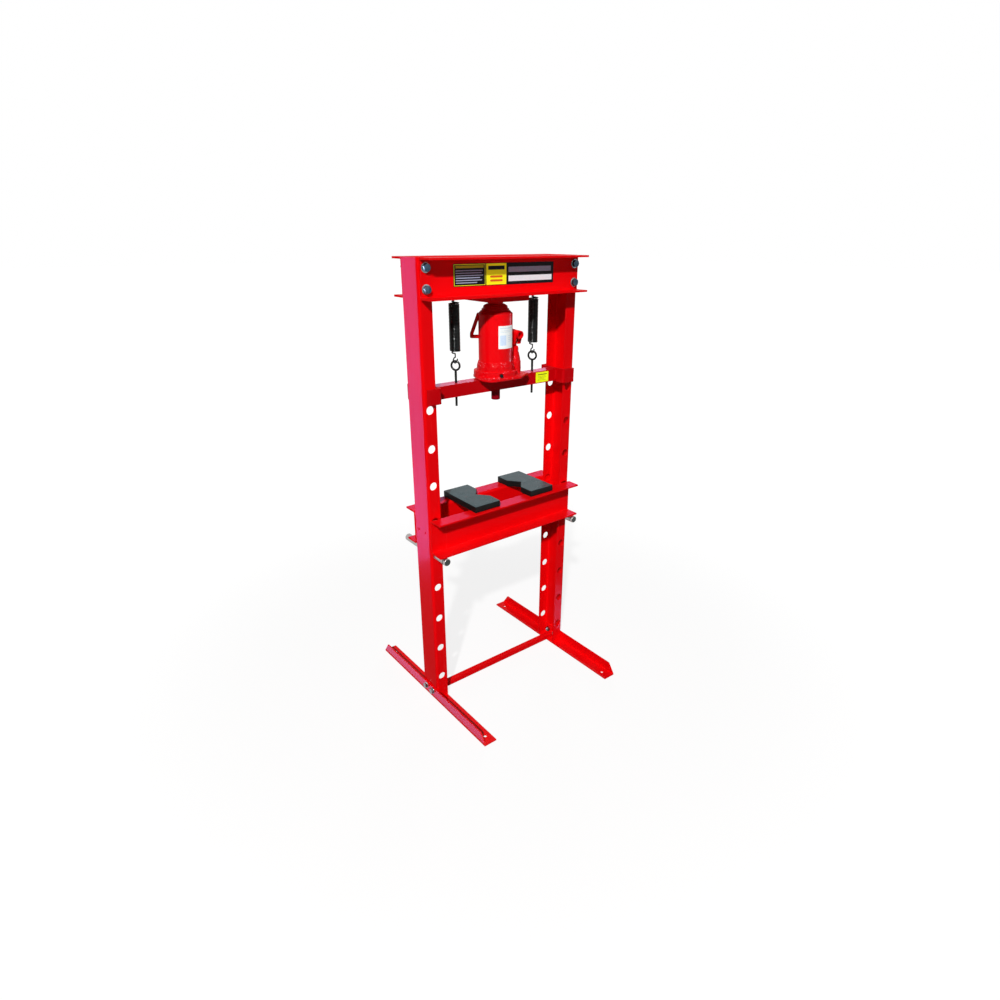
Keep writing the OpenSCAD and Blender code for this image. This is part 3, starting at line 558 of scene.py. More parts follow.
def build_weld_tree():
    """A fillet weld along a line: a round bead, rippled along its run, with tapered ends."""
    tree, given, result = shape_tree("weld bead", {"Bead Radius": 0.003, "Ripple": 0.0024})
    line = step(tree, "GeometryNodeMeshToCurve", given["Geometry"])[0]
    line = step(tree, "GeometryNodeResampleCurve", line, mode="LENGTH", Length=0.0008)[0]
    run = step(tree, "GeometryNodeSplineParameter")["Length"]
    share = step(tree, "GeometryNodeSplineParameter")["Factor"]
    phase = maths(tree, "FRACT", maths(tree, "DIVIDE", run, given["Ripple"]))
    wobble = step(tree, "ShaderNodeTexNoise", Scale=90.0)["Fac"]
    swell = add_up(tree, 0.86, (phase, 0.16), (wobble, 0.22))
    whole = maths(tree, "DIVIDE", run, maths(tree, "MAXIMUM", share, 0.0001))
    near_end = maths(tree, "MINIMUM", run, less(tree, whole, run))
    end_gap = times(tree, given["Bead Radius"], 1.2)
    taper = maths(tree, "POWER", remap(tree, near_end, 0.0, end_gap, smooth=False), 0.5)
    ring = step(tree, "GeometryNodeCurvePrimitiveCircle", Resolution=10,
                Radius=given["Bead Radius"])[0]
    body = step(tree, "GeometryNodeCurveToMesh", line, Profile_Curve=ring, Fill_Caps=True,
                Scale=times(tree, swell, add_up(tree, 0.25, (taper, 0.75))))[0]
    return finish_tree(tree, body, given, result)


def along_z(tree, value):
    """A vector on the Z axis, as long as the value."""
    return step(tree, "ShaderNodeCombineXYZ", Z=value)[0]


def build_fastener_tree():
    """One fastener set out on the corners of each of two opposite faces."""
    tree, given, result = shape_tree("fastener pattern", {
        "Spread": 0.5, "Rise": 0.05, "Out": 0.05, "Columns": 2, "Height": 1.0,
        "Facing": ROTATION, "Seed": 1})
    corners = step(tree, "GeometryNodeMeshGrid", Size_X=given["Spread"], Size_Y=given["Rise"],
                   Vertices_X=given["Columns"], Vertices_Y=2)["Mesh"]
    raised = step(tree, "GeometryNodeTransform", corners,
                  Translation=along_z(tree, given["Out"]))[0]
    chance = tree.nodes.new("FunctionNodeRandomValue")
    chance.data_type = "FLOAT"
    chance.inputs[3].default_value = math.tau
    wire(tree, given["Seed"], chance.inputs["Seed"])
    spin = step(tree, "FunctionNodeEulerToRotation", along_z(tree, chance.outputs[1]))[0]
    placed = step(tree, "GeometryNodeInstanceOnPoints", raised, Instance=given["Geometry"],
                  Rotation=spin)[0]
    front = step(tree, "GeometryNodeTransform", placed, Rotation=given["Facing"])[0]
    rear = step(tree, "GeometryNodeTransform", front, Rotation=(0, 0, math.pi))[0]
    both = tree.nodes.new("GeometryNodeJoinGeometry")
    wire(tree, front, both.inputs[0])
    wire(tree, rear, both.inputs[0])
    whole = step(tree, "GeometryNodeTransform", both.outputs[0],
                 Translation=along_z(tree, given["Height"]))[0]
    return finish_tree(tree, whole, given, result)


WELD_TREE = build_weld_tree()
WIRE_TREE = build_wire_tree()
FASTENER_TREE = build_fastener_tree()


# ------ piece helpers

def settle(piece, node, material=None, stands_in=True):
    """Gives a piece the given material, if any, and the body of a solid; it takes the solid's
    place if it stands in.
    """
    if material is not None:
        piece.data.materials.clear()
        piece.data.materials.append(material)
    if stands_in:
        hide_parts(node)
    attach(piece, BODY_OF[node])
    return piece


def clean_copy(node):
    """A merged copy of a solid, with the facets of its flat faces joined."""
    work = bmesh.new()
    work.from_mesh(NODES[node].data)
    bmesh.ops.remove_doubles(work, verts=work.verts, dist=2e-6)
    bmesh.ops.dissolve_limit(work, angle_limit=math.radians(0.6), verts=work.verts,
                             edges=work.edges, use_dissolve_boundaries=False)
    mesh = to_mesh(work, node + "_rounded")
    return new_object(mesh.name, mesh)


def soften(piece, width, segments):
    """Rounds the sharp edges and shades the rest smooth, with true normals on flat faces."""
    bevel = piece.modifiers.new("rounded edges", "BEVEL")
    bevel.width = width
    bevel.segments = segments
    bevel.limit_method = "ANGLE"
    bevel.angle_limit = math.radians(28)
    bevel.miter_outer = "MITER_ARC"
    baked(piece)
    piece.data.shade_smooth()
    piece.data.set_sharp_from_angle(angle=math.radians(34))
    flats = piece.modifiers.new("true flats", "WEIGHTED_NORMAL")
    flats.mode = "FACE_AREA"
    flats.weight = 100
    flats.keep_sharp = True
    return baked(piece)


def round_all(batches):
    """Rounds solids in batches: material, edge width in metres, segments and names."""
    for material, width, segments, nodes in batches:
        for node in nodes.split():
            settle(soften(clean_copy(node), width, segments), node, material)


# ------ welded and folded steel

round_all((
    (FRAME_RED, 0.0008, 2, "post_left post_right top_channel_front top_channel_rear"
                           " table_channel_front table_channel_rear"),
    (FOOT_RED, 0.0010, 2, "foot_left foot_right"),
    (FRAME_RED, 0.0010, 2, "cross_brace brace_end_plates head_plate table_spacer_left"
                           " table_spacer_right spring_hanger_rods"),
    (CROSSHEAD_RED, 0.0012, 2, "crossbeam guide_left guide_right"),
    # painted shade: the press pin gets the darkened red
    (PIN_RED_PAINTED_SHADE, 0.0012, 2, "press_pin"),
    (PLATE_BLACK, 0.0018, 3, "arbor_plate_left arbor_plate_right"),
    (PIN_STEEL, 0.0005, 2, "table_pin_left table_pin_right")))


OUT = 0.6                # a bead's middle stands this far out of its corner


def mirrored(runs, axes):
    """The runs and their mirror copies across the named axes."""
    for axis in axes:
        flip = [-1 if name == axis else 1 for name in "XYZ"]
        runs = runs + [[[c * f for c, f in zip(point, flip)] for point in run] for run in runs]
    return runs


def weld(name, runs, radius, paint, body):
    """Painted fillet welds along straight runs, each given by its two ends in millimetres."""
    work = bmesh.new()
    for run in runs:
        work.edges.new([work.verts.new(Vector(point) * MM) for point in run])
    bead = grown(WELD_TREE, name, to_mesh(work, name), Bead_Radius=radius * MM, Finish=paint)
    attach(bead, body)


def weld_all():
    """The welds of the head plate, the brace's ends, the table's spacers and the guides."""
    side, top = at("head_plate", "Y-") - OUT, at("head_plate", "Z+") - OUT
    weld("head_plate_welds",
         mirrored([((-68, side, top), (-28, side, top)), ((side, -72, top), (side, -50, top))],
                  "XY"),
         2.8, FRAME_RED, "frame")

    end, side = at("cross_brace", "X-") + OUT, at("cross_brace", "Y+") + OUT
    low, top = at("cross_brace", "Z-"), at("cross_brace", "Z+")
    weld("brace_welds",
         mirrored([((end, -side, low + 1), (end, -side, top - 1)),
                   ((end, -9, top + OUT), (end, 9, top + OUT))], "X")
         + mirrored([((end, side, low + 1), (end, side, top - 1))], "X"),
         2.2, FRAME_RED, "frame")

    end, side = at("table_spacer_left", "X+") + OUT, at("table_spacer_left", "Y-") + OUT
    weld("spacer_welds",
         mirrored([((end, side, low), (end, side, low + 22)) for low in (612, 650)], "XY"),
         2.6, FRAME_RED, "table")

    end, side = at("guide_left", "X+") + OUT, at("crossbeam", "Y+") + OUT
    low, top = at("crossbeam", "Z-"), at("crossbeam", "Z+")
    weld("guide_welds",
         mirrored([((end, -side, low + 3), (end, -side, top - 3)),
                   ((end, -18, top + OUT), (end, 18, top + OUT)),
                   ((end, -18, low - OUT), (end, 18, low - OUT))], "X")
         + mirrored([((end, side, low + 3), (end, side, top - 3))], "X"),
         2.6, CROSSHEAD_RED, "crosshead")


weld_all()


# ------ bolts, nuts, washers

TIP = 0.01               # radius at which a turned end closes
SAME_PLACE = 2.5e-5      # points nearer than this, in metres, are one
CHAMFER = math.tan(math.radians(30))
RIM_SHARE = 0.955        # the chamfer starts at this share of half the flats
BLUNT_SHARE = 0.986      # a hexagon's corners are rubbed down to this share
THREAD_ROWS = 4          # rings of points to one turn of thread


def around(radius, angle, z):
    return radius * math.cos(angle), radius * math.sin(angle), z


def turned(name, rings, steps=72, shift=0.0):
    """A closed shape from rings of (radius, height) in millimetres, its axis moved along X.

    A radius or a height may be a function of the angle.
    """
    work = bmesh.new()
    made = []
    for radius, height in rings:
        ring = []
        for angle in (math.tau * i / steps for i in range(steps)):
            r = radius(angle) if callable(radius) else radius
            z = height(angle) if callable(height) else height
            ring.append(work.verts.new(around(r, angle, z)))
        made.append(ring)
    for low, high in zip(made, made[1:]):
        for i in range(steps):
            j = (i + 1) % steps
            work.faces.new((low[i], low[j], high[j], high[i]))
    bmesh.ops.translate(work, vec=(shift, 0, 0), verts=work.verts)
    bmesh.ops.scale(work, vec=(MM, MM, MM), verts=work.verts)
    bmesh.ops.remove_doubles(work, verts=work.verts, dist=SAME_PLACE)
    bmesh.ops.recalc_face_normals(work, faces=work.faces)
    mesh = to_mesh(work, name)
    mesh.shade_smooth()
    mesh.set_sharp_from_angle(angle=math.radians(28))
    return mesh


def hexagon(flats):
    """A hexagon's rim, and by angle its radius and its corners' drop below the face."""
    rim = flats / 2 * RIM_SHARE

    def radius(angle):
        turn = (angle + math.pi / 6) % (math.pi / 3) - math.pi / 6
        corner = flats / 2 / math.cos(math.pi / 6)
        return min(flats / 2 / math.cos(turn), corner * BLUNT_SHARE)

    def drop(angle):
        return (radius(angle) - rim) * CHAMFER

    return rim, radius, drop


def thread_radius(size, pitch, z):
    """The thread's radius by angle at one height: a ridge that climbs one pitch a turn."""
    def radius(angle):
        share = (z / pitch - angle / math.tau) % 1.0
        return size / 2 - pitch * 0.5 * abs(2 * share - 1)
    return radius


def hex_bolt(name, size, pitch, flats, head, length, threaded):
    """Bolt on the Z axis, under-head face on z = 0, thread at the free end.

    The head has a raised round mark on top, chamfered corners and a washer face below.
    """
    rim, radius, drop = hexagon(flats)
    shank, thread_top = size / 2, threaded - length
    rings = [(TIP, head + 0.05), (flats / 2 * 0.55, head + 0.05), (flats / 2 * 0.62, head),
             (rim, head), (radius, lambda angle: head - drop(angle)), (radius, 0.6),
             (rim, 0.55), (rim, 0.0), (shank, 0.0), (shank, thread_top)]
    rows = int(threaded / pitch * THREAD_ROWS)
    for row in range(1, rows + 1):
        z = thread_top - row * threaded / (rows + 1)
        rings.append((thread_radius(size, pitch, z), z))
    rings += [(shank - pitch * 0.75, -length + pitch * 0.3), (shank - pitch, -length),
              (TIP, -length)]
    return turned(name, rings)


def hex_nut(name, size, pitch, flats, height):
    """Nut on the Z axis from z = 0 to its height, both faces chamfered."""
    rim, radius, drop = hexagon(flats)
    bore, lip = size / 2 - 0.1, size / 2 + 0.6
    return turned(name, [
        (bore, pitch * 0.5), (lip, 0.0), (rim, 0.0), (radius, drop),
        (radius, lambda angle: height - drop(angle)), (rim, height), (lip, height),
        (bore, height - pitch * 0.5), (bore, pitch * 0.5)])


def plain_washer(name, inner, outer, height):
    """Washer on the Z axis from z = 0: one punched edge is rounded, the other is sharp."""
    return turned(name, [
        (inner, 0.0), (outer - 0.15, 0.0), (outer, 0.15), (outer, height - 0.7),
        (outer - 0.3, height - 0.2), (outer - 0.8, height), (inner + 0.3, height),
        (inner, height - 0.3), (inner, 0.0)], 48)


def set_out(name, master, node, out, seed, places, finish=ZINC):
    """A fastener's copies, their z = 0 this many millimetres out from the press's middle."""
    settle(grown(FASTENER_TREE, name, master, Out=out * MM, Seed=seed, Finish=finish, **places),
           node)


TOP_SEAT, TOP_WASHER, TOP_NUT = at("top_washers", "Y+"), 2.5, 11
FOOT_SEAT, FOOT_WASHER, FOOT_NUT = at("foot_washers", "X+"), 2.0, 9.5
AT_TOP = {"Spread": 0.565, "Rise": 0.057, "Columns": 2, "Height": 1.4455,
          "Facing": (math.pi / 2, 0, 0)}
AT_FEET = {"Spread": 0.0, "Rise": 0.042, "Columns": 1, "Height": 0.028,
           "Facing": (0, -math.pi / 2, 0)}
# The top bolts wear the zinc darkened as a painted reflection.
set_out("top_beam_bolts", hex_bolt("m14 bolt", 14, 2.0, 21, 9, 28.5, 17), "top_bolts",
        TOP_SEAT, 3, AT_TOP, ZINC_DARKENED_AS_REFLECTION)
set_out("top_beam_washers", plain_washer("m14 washer", 7.3, 14, TOP_WASHER), "top_washers",
        TOP_SEAT - TOP_WASHER, 5, AT_TOP)
set_out("top_beam_nuts", hex_nut("m14 nut", 14, 2.0, 21, TOP_NUT), "top_nuts",
        at("top_nuts", "Y+") - TOP_NUT, 8, AT_TOP)
set_out("foot_fixing_bolts", hex_bolt("m12 bolt", 12, 1.75, 18, 7.5, 29.5, 15), "foot_bolts",
        FOOT_SEAT, 2, AT_FEET)
set_out("foot_fixing_washers", plain_washer("m12 washer", 6.3, 12, FOOT_WASHER),
        "foot_washers", FOOT_SEAT - FOOT_WASHER, 4, AT_FEET)
set_out("foot_fixing_nuts", hex_nut("m12 nut", 12, 1.75, 18, FOOT_NUT), "foot_nuts",
        at("foot_nuts", "X+") - FOOT_NUT, 6, AT_FEET)


# ------ return springs

SIDE = 156               # each spring hangs this far from the middle
HOOK_R = 8.5
COIL_R = 14.9
WIRE_R = 2.06
COILS = 34
PITCH = 4.2
SPRING_TOP = 1372.0
SPRING_FOOT = SPRING_TOP - COILS * PITCH
TURN_POINTS = 24         # points to one turn of the coil
UPPER_HOOK, UPPER_NECK, LEAD_TOP = 1396.0, (1384.5, 1381.0, 1378.0), 1377.0
LOWER_HOOK, LOWER_NECK, LEAD_FOOT = 1203.2, (1221.0, 1218.0, 1215.0), 1223.0
LEAD_SWING = math.radians(250)      # how far the wire turns from the neck out to the coil
LEAD_POINTS = 15
EYE_R, EYE_WIRE_R = 13.8, 3.2
EYE_HEIGHT = at("eye_bolt_left", "Z+") - EYE_R - EYE_WIRE_R
ROD_SIZE, ROD_PITCH, THREAD_LONG = 8, 1.25, 89
ROD_FOOT = at("eye_bolt_left", "Z-")
EYE_NECK = [(3.9, 1150.5), (3.9, 1168.0), (3.4, 1173.0), (2.6, 1175.0), (TIP, 1175.6)]


def polyline(name, points, shift):
    """A bare line of edges for a tree to sweep, from points in millimetres moved along X."""
    mesh = bpy.data.meshes.new(name)
    mesh.from_pydata([tuple(Vector((shift + x, y, z)) * MM) for x, y, z in points],
                     [(i, i + 1) for i in range(len(points) - 1)], [])
    return mesh


def arc(radius, height, start, sweep, turn=0, steps=26):
    """Points on an upright ring, in degrees from +X in the XZ plane, turned about Z."""
    points = []
    for i in range(steps + 1):
        angle = math.radians(start + sweep * i / steps)
        points.append(around(radius * math.cos(angle), math.radians(turn),
                             height + radius * math.sin(angle)))
    return points


def spring_path():
    """One extension spring: hook, neck, close coils, neck, hook."""
    high, low = SPRING_TOP - PITCH / 2, SPRING_FOOT + PITCH / 2
    lead = [i / LEAD_POINTS for i in range(1, LEAD_POINTS)]
    line = arc(HOOK_R, UPPER_HOOK, 200, -290)
    line += [(0, 0, z) for z in UPPER_NECK]
    line += [around(COIL_R * math.sin(share * math.pi / 2), LEAD_SWING * (share - 1),
                    LEAD_TOP - (LEAD_TOP - SPRING_TOP + PITCH / 2) * share ** 1.5)
             for share in lead]
    line += [around(COIL_R, math.tau * i / TURN_POINTS, high - PITCH * i / TURN_POINTS)
             for i in range((COILS - 1) * TURN_POINTS + 1)]
    line += [around(COIL_R * math.cos(share * math.pi / 2), LEAD_SWING * share,
                    low - (low - LEAD_FOOT) * (1 - (1 - share) ** 1.5))
             for share in lead]
    line += [(0, 0, z) for z in LOWER_NECK]
    return line + arc(HOOK_R, LOWER_HOOK, 90, 290, 8)


def spring(side, node):
    """A spring that stretches between the hanger rod above and the eye bolt below."""
    x = side * SIDE
    piece = grown(WIRE_TREE, node + "_coil", polyline(node, spring_path(), x),
                  Wire_Radius=WIRE_R * MM, Sides=12, Finish=SPRING_BLACK)
    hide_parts(node)
    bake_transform(piece)


def eye_bolt(side, node):
    """Bent-wire eye on a threaded rod that drops through the beam."""
    x = side * SIDE
    ring = arc(EYE_R, EYE_HEIGHT, -86, 352, -57, 48)
    settle(grown(WIRE_TREE, node + "_ring", polyline(node + "_line", ring, x),
                 Wire_Radius=EYE_WIRE_R * MM, Sides=14, Finish=SPRING_BLACK), node)
    rings = [(TIP, ROD_FOOT), (3.0, ROD_FOOT), (3.6, ROD_FOOT + 0.8)]
    rows = int(THREAD_LONG / ROD_PITCH * THREAD_ROWS)
    for z in (ROD_FOOT + 1 + THREAD_LONG * row / rows for row in range(rows)):
        rings.append((thread_radius(ROD_SIZE, ROD_PITCH, z), z))
    rings += EYE_NECK
    settle(new_object(node + "_rod", turned(node + "_rod", rings, 24, x)), node, SPRING_BLACK,
           stands_in=False)


for make, kind in ((spring, "spring"), (eye_bolt, "eye_bolt")):
    for side, hand in ((-1, "left"), (1, "right")):
        make(side, f"{kind}_{hand}")


# ------ bottle jack

CAST_LUMPS = ((0.0009, 75), (0.0005, 190))      # height in metres, waves to the metre
CAST_FADE = 0.003


def casting(node, paint, voxel, rounds):
    """A casting with lumpy skin: the solid, every edge run out into small fillets.

    The lumps fade out towards its foot, and all are found before any point moves.
    """
    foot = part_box(node)[0][2] + MM
    piece = clean_copy(node)
    remesh = piece.modifiers.new("skin", "REMESH")
    remesh.mode = "VOXEL"
    remesh.voxel_size = voxel
    smooth = piece.modifiers.new("fillets", "SMOOTH")
    smooth.factor = 0.5
    smooth.iterations = rounds
    baked(piece)
    moved = []
    for point in piece.data.vertices:
        rough = sum(height * waves.noise(point.co * scale) for height, scale in CAST_LUMPS)
        share = min(1.0, max(0.0, point.co.z - foot) / CAST_FADE)
        moved.append(point.co + point.normal * rough * share)
    for point, spot in zip(piece.data.vertices, moved):
        point.co = spot
    piece.data.shade_smooth()
    settle(piece, node, paint)


casting("jack_base", CAST_RED, 0.0013, 5)
round_all((
    (JACK_RED, 0.0007, 2, "jack_reservoir jack_saddle side_handle fulcrum_link"),
    (JACK_RED, 0.0009, 2, "pump_cylinder handle_socket pump_plunger pump_gland"),
    # The top nut takes the darker crosshead red as painted shade: the head plate's shadow falls
    # on it.
    (CROSSHEAD_RED, 0.0009, 2, "jack_top_nut"),
    (RAM_STEEL, 0.0006, 2, "jack_ram jack_cylinder"),
    (SMALL_STEEL, 0.0005, 2, "link_pin fulcrum_pin plunger_pin"),
    (JACK_RED, 0.0005, 2, "filler_plug"),
    (SPRING_BLACK, 0.0005, 2, "release_valve"),
    (SEAL, 0.0004, 2, "ram_seal")))


# ------ labels and tags

JACK_LABEL_TURN = math.radians(-86)
JACK_LABEL_R = 54.5


def flat_on_front(x, depth, z):
    """x and z as on a flat front, with the depth measured out from the middle."""
    return Vector((x, -depth, z)) * MM


def bent_round_jack(x, depth, z):
    """x runs round the reservoir as an arc length from the label's middle."""
    return Vector(around(depth, JACK_LABEL_TURN + x / JACK_LABEL_R, z)) * MM


def strip(low, high):
    """The faces between two rows of points; one row may be two points shorter."""
    if len(low) == len(high):
        return list(zip(low, low[1:], high[1:], high))
    short, wide = sorted((low, high), key=len)
    ends = [(short[0], wide[1], wide[0]), (short[-1], wide[-1], wide[-2])]
    return list(zip(short, short[1:], wide[2:], wide[1:])) + ends


def outline(grid):
    """The points round the edge of a grid, in order."""
    return (grid[0] + [row[-1] for row in grid[1:-1]] + grid[-1][::-1]
            + [row[0] for row in grid[-2:0:-1]])


def card(work, x0, x1, z0, z1, back, front, corner, ink, place_at):
    """A thin card with cut corners: a grid in x and z, its thickness in depth."""
    columns = max(2, int((x1 - x0) / 3)) if place_at is bent_round_jack else 1
    inner = [x0 + corner + (x1 - x0 - 2 * corner) * i / columns for i in range(columns + 1)]
    cut = corner * 0.3
    narrow, wide = [x0 + cut, *inner, x1 - cut], [x0, *inner, x1]
    rows = ((z0, inner), (z0 + cut, narrow), (z0 + corner, wide), (z1 - corner, wide),
            (z1 - cut, narrow), (z1, inner))
    grids = [[[work.verts.new(place_at(x, depth, z)) for x in xs] for z, xs in rows]
             for depth in (front, back)]
    faces = [face for grid in grids for low, high in zip(grid, grid[1:])
             for face in strip(low, high)]
    near, far = (outline(grid) for grid in grids)
    faces += zip(near, near[1:] + near[:1], far[1:] + far[:1], far)
    for face in faces:
        work.faces.new(face).material_index = ink


def lines(x, top, gap, tall, reaches, depths, corner, ink):
    """Cards like lines of writing, from x out to each reach, one below the other."""
    cards = []
    for row, reach in enumerate(reaches):
        low = top - row * gap
        cards.append((x, reach, low, low + tall, *depths, corner, ink))
    return cards


def label(name, node, cards, inks, place_at):
    """A label of cards: (x0, x1, z0, z1, back, front, corner, ink number)."""
    work = bmesh.new()
    for sizes in cards:
        card(work, *sizes, place_at)
    bmesh.ops.recalc_face_normals(work, faces=work.faces)
    mesh = to_mesh(work, name)
    for ink in inks:
        mesh.materials.append(ink)
    settle(new_object(name, mesh), node)


def backing(node, corner):
    """The bottom card of a flat label, as large as its solid."""
    return (at(node, "X-"), at(node, "X+"), at(node, "Z-"), at(node, "Z+"),
            -at(node, "Y+"), -at(node, "Y-"), corner, 0)


# The back and the front of each layer of ink, in millimetres out from the middle.
PANEL_EDGE, PANEL_FIELD, PANEL_INK = (53.5, 53.65), (53.5, 53.72), (53.5, 53.8)
TAG_EDGE, TAG_FIELD, TAG_INK = (21.5, 21.62), (21.5, 21.68), (21.5, 21.75)
FILM, FILM_INK = (54.55, 55.05), (54.9, 55.1)

label("name_panel", "name_label",
      [backing("name_label", 1.5),
       (-189, -78, 1422, 1480, *PANEL_EDGE, 1.0, 2),
       (-187.6, -79.4, 1423.4, 1478.6, *PANEL_FIELD, 0.6, 0),
       (-183, -84, 1469.5, 1476.5, *PANEL_INK, 0.5, 3),
       (-74, 1, 1421.5, 1480.5, *PANEL_FIELD, 0.8, 2),
       (-67, -6, 1463, 1474, *PANEL_INK, 0.8, 0),
       *lines(-60, 1441, 11, 6, (-13, -13), PANEL_INK, 2.9, 5),
       (9, 180, 1455, 1470, *PANEL_FIELD, 1.2, 4),
       (9, 184, 1429, 1445, *PANEL_FIELD, 1.2, 1),
       *lines(-183, 1461.5, 6.6, 2.6, (-88, -92, -86, -97, -90, -108), PANEL_INK, 0.4, 4)],
      [INK_BLACK, INK_PALE, INK_YELLOW, INK_OCHRE, INK_GREY, INK_RED], flat_on_front)
label("beam_tag", "beam_label",
      [backing("beam_label", 1.0),
       (158.5, 209.5, 1099.5, 1128.5, *TAG_EDGE, 0.6, 1),
       (159.3, 208.7, 1100.3, 1127.7, *TAG_FIELD, 0.4, 0),
       (163, 205, 1121, 1125, *TAG_INK, 0.5, 1),
       *lines(163, 1116, 4.2, 1.5, (200, 204, 194, 202), TAG_INK, 0.3, 1)],
      [INK_LIME, INK_OLIVE], flat_on_front)
label("jack_tag", "jack_label",
      [(-29.9, 29.9, 1230, 1299, *FILM, 1.2, 0),
       (-25, 25, 1290, 1294, *FILM_INK, 0.4, 1),
       *lines(-25, 1284, 4.5, 2, (12, 20), FILM_INK, 0.3, 1),
       (-25, -3, 1240, 1271, *FILM_INK, 0.8, 2),
       *lines(3, 1268, 6, 2.5, (25, 21, 25, 16), FILM_INK, 0.3, 1)],
      [FILM_WHITE, INK_MIST, INK_SKY], bent_round_jack)


# ------ stage and light

FLOOR_HALF = 40.0
FLOOR_GLOW = 0.8         # share of glow near the press; further out the floor is all glow
GLOW_FROM, GLOW_TO = 0.7, 2.4
WHITE = (1, 1, 1, 1)
COOL_SKY = (0.93, 0.95, 1.0, 1)
WARM = (1.0, 0.98, 0.97)


def seen_rays(tree):
    """Light Path's outputs, and 1 on the rays that show a thing, straight or in gloss."""
    rays = step(tree, "ShaderNodeLightPath")
    seen = plus(tree, rays["Is Camera Ray"], rays["Is Glossy Ray"], clamp=True)
    return rays, plus(tree, seen, rays["Is Transmission Ray"], clamp=True)


def mix_shaders(tree, share, first, second, result):
    mix = tree.nodes.new("ShaderNodeMixShader")
    for output, socket in zip((share, first, second), mix.inputs):
        wire(tree, output, socket)
    wire(tree, mix.outputs[0], result)


def build_floor():
    """A pale floor: it glows where it is seen, and takes the press's shadow."""
    half = FLOOR_HALF
    mesh = bpy.data.meshes.new("floor")
    mesh.from_pydata([(-half, -half, 0), (half, -half, 0), (half, half, 0), (-half, half, 0)],
                     [], [(0, 1, 2, 3)])
    material, tree, shader, coords = blank("studio floor")
    rays, seen = seen_rays(tree)
    feed(tree, shader, Roughness=0.9, Specular_IOR_Level=0.0,
         Base_Color=mix_colour(tree, rays["Is Camera Ray"], (0.16, 0.16, 0.16),
                               (0.88, 0.88, 0.89)))
    glow = step(tree, "ShaderNodeEmission", Color=WHITE, Strength=1.06)[0]
    far = tree.nodes.new("ShaderNodeVectorMath")
    far.operation = "LENGTH"
    wire(tree, coords, far.inputs[0])
    edge = remap(tree, far.outputs["Value"], GLOW_FROM, GLOW_TO, FLOOR_GLOW, 1.0)
    mix_shaders(tree, times(tree, seen, edge), shader.outputs[0], glow,
                tree.nodes["Material Output"].inputs["Surface"])
    mesh.materials.append(material)
    new_object("floor", mesh)


def build_world():
    """A faint cool light from all round, and plain white where it is seen."""
    world = bpy.data.worlds.new("studio")
    bpy.context.scene.world = world
    world.use_nodes = True
    tree = world.node_tree
    tree.nodes.clear()
    light = step(tree, "ShaderNodeBackground", Color=COOL_SKY, Strength=0.06)[0]
    white = step(tree, "ShaderNodeBackground", Color=WHITE)[0]
    mix_shaders(tree, seen_rays(tree)[1], light, white,
                tree.nodes.new("ShaderNodeOutputWorld").inputs["Surface"])


def lamp(name, place_at, aim_at, size, watts, colour):
    """A round lamp that points at a place, or straight up where there is none."""
    data = bpy.data.lights.new(name, "AREA")
    data.shape = "DISK"
    data.size = size
    data.energy = watts
    data.color = colour
    holder = new_object(name, data)
    holder.location = place_at
    holder.rotation_euler = (math.pi, 0, 0)
    if aim_at is not None:
        way = Vector(aim_at) - Vector(place_at)
        holder.rotation_euler = way.to_track_quat("-Z", "Y").to_euler()
    return holder


def gloss_panel(name, place_at, aim_at, width, height, watts, colour, *lit):
    """A soft box that shows only as a reflection, and only in the named pieces."""
    holder = lamp(name, place_at, aim_at, width, watts, colour)
    holder.data.shape = "RECTANGLE"
    holder.data.size_y = height
    holder.visible_camera = False
    holder.visible_diffuse = False
    receivers = bpy.data.collections.new(name + " receivers")
    for piece in bpy.context.scene.objects:
        if piece.name.startswith(lit):
            receivers.objects.link(piece)
    holder.light_linking.receiver_collection = receivers


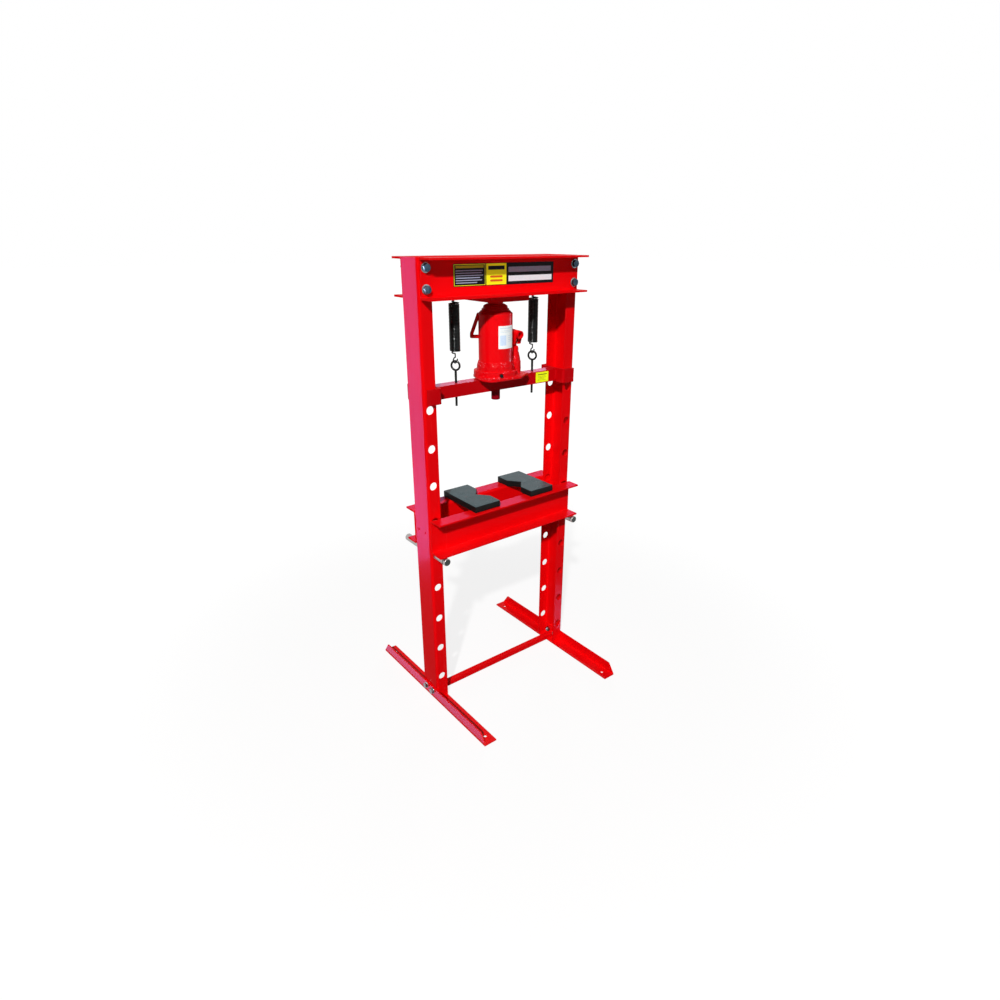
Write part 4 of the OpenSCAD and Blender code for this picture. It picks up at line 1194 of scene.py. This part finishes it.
def build_camera():
    """The view from the front left and above, rolled a very little."""
    data = bpy.data.cameras.new("camera")
    data.sensor_width = 36.0
    data.lens = 22.93
    data.shift_x = -0.0066
    data.shift_y = 0.0174
    data.clip_start = 0.05
    data.clip_end = 200.0
    roll = 0.0045
    ahead = Vector((0.56855, 0.71744, -0.40252)).normalized()
    right = ahead.cross(Vector((0, 0, 1))).normalized()
    up = right.cross(ahead)
    across = right * math.cos(roll) + up * math.sin(roll)
    upward = up * math.cos(roll) - right * math.sin(roll)
    turn = Matrix((across, upward, -ahead)).transposed().to_4x4()
    turn.translation = Vector((-1.2699, -1.6638, 1.5509))
    holder = new_object("camera", data)
    holder.matrix_world = turn
    bpy.context.scene.camera = holder


build_floor()
build_world()

SUN_AT = (-6.1, -6.1, 7.15)
MIDDLE = (0.0, 0.0, 0.9)
# Place, aim, width and height of the box behind the press on the right.
REAR_BOX = (0.95, 1.07, 1.50), (0.0, 0.0, 0.95), 1.6, 0.8
lamp("key light", SUN_AT, MIDDLE, 0.42, 1150, (1.0, 0.985, 0.96))
lamp("front fill", (1.6, -4.2, 1.8), MIDDLE, 1.6, 12, WARM)
rear_fill = lamp("rear fill", (4.4, 4.4, 0.9), MIDDLE, 2.4, 150, WARM)
rear_fill.visible_glossy = False
for box in (
        ("left soft box", (-0.80, 0.84, 0.98), (-0.305, 0.0, 0.98), 0.62, 1.86, 66,
         (0.70, 0.31, 1.0), "post_left"),
        ("floor soft box", (-0.565, 0.12, 0.002), None, 0.50, 1.1, 8.2,
         (0.46, 0.42, 1.0), "foot_left"),
        ("right floor soft box", (0.46, -0.25, 0.002), None, 0.30, 0.42, 4.3,
         (0.62, 0.48, 1.0), "post_right"),
        ("jack soft box", (1.0, -0.19, 0.80), (0.0, 0.0, 1.24), 0.20, 0.9, 13,
         (0.85, 0.72, 1.0), "jack_reservoir", "jack_top_nut", "pump_cylinder"),
        ("rear soft box", *REAR_BOX, 25, (0.8, 0.36, 1.0), "table_channel"),
        ("beam soft box", *REAR_BOX, 20, (0.8, 0.62, 1.0), "crossbeam"),
        ("bolt glint", (-0.96, 0.74, 1.0), (-0.28, -0.1, 1.44), 0.5, 0.9, 90,
         (0.9, 0.9, 1.0), "top_beam_bolts", "foot_fixing_bolts"),
        ("spring glint", SUN_AT, MIDDLE, 0.42, 0.42, 4500, (1, 1, 1),
         "spring_left", "spring_right", "eye_bolt")):
    gloss_panel(*box)
build_camera()
bpy.context.scene.view_settings.view_transform = "Standard"
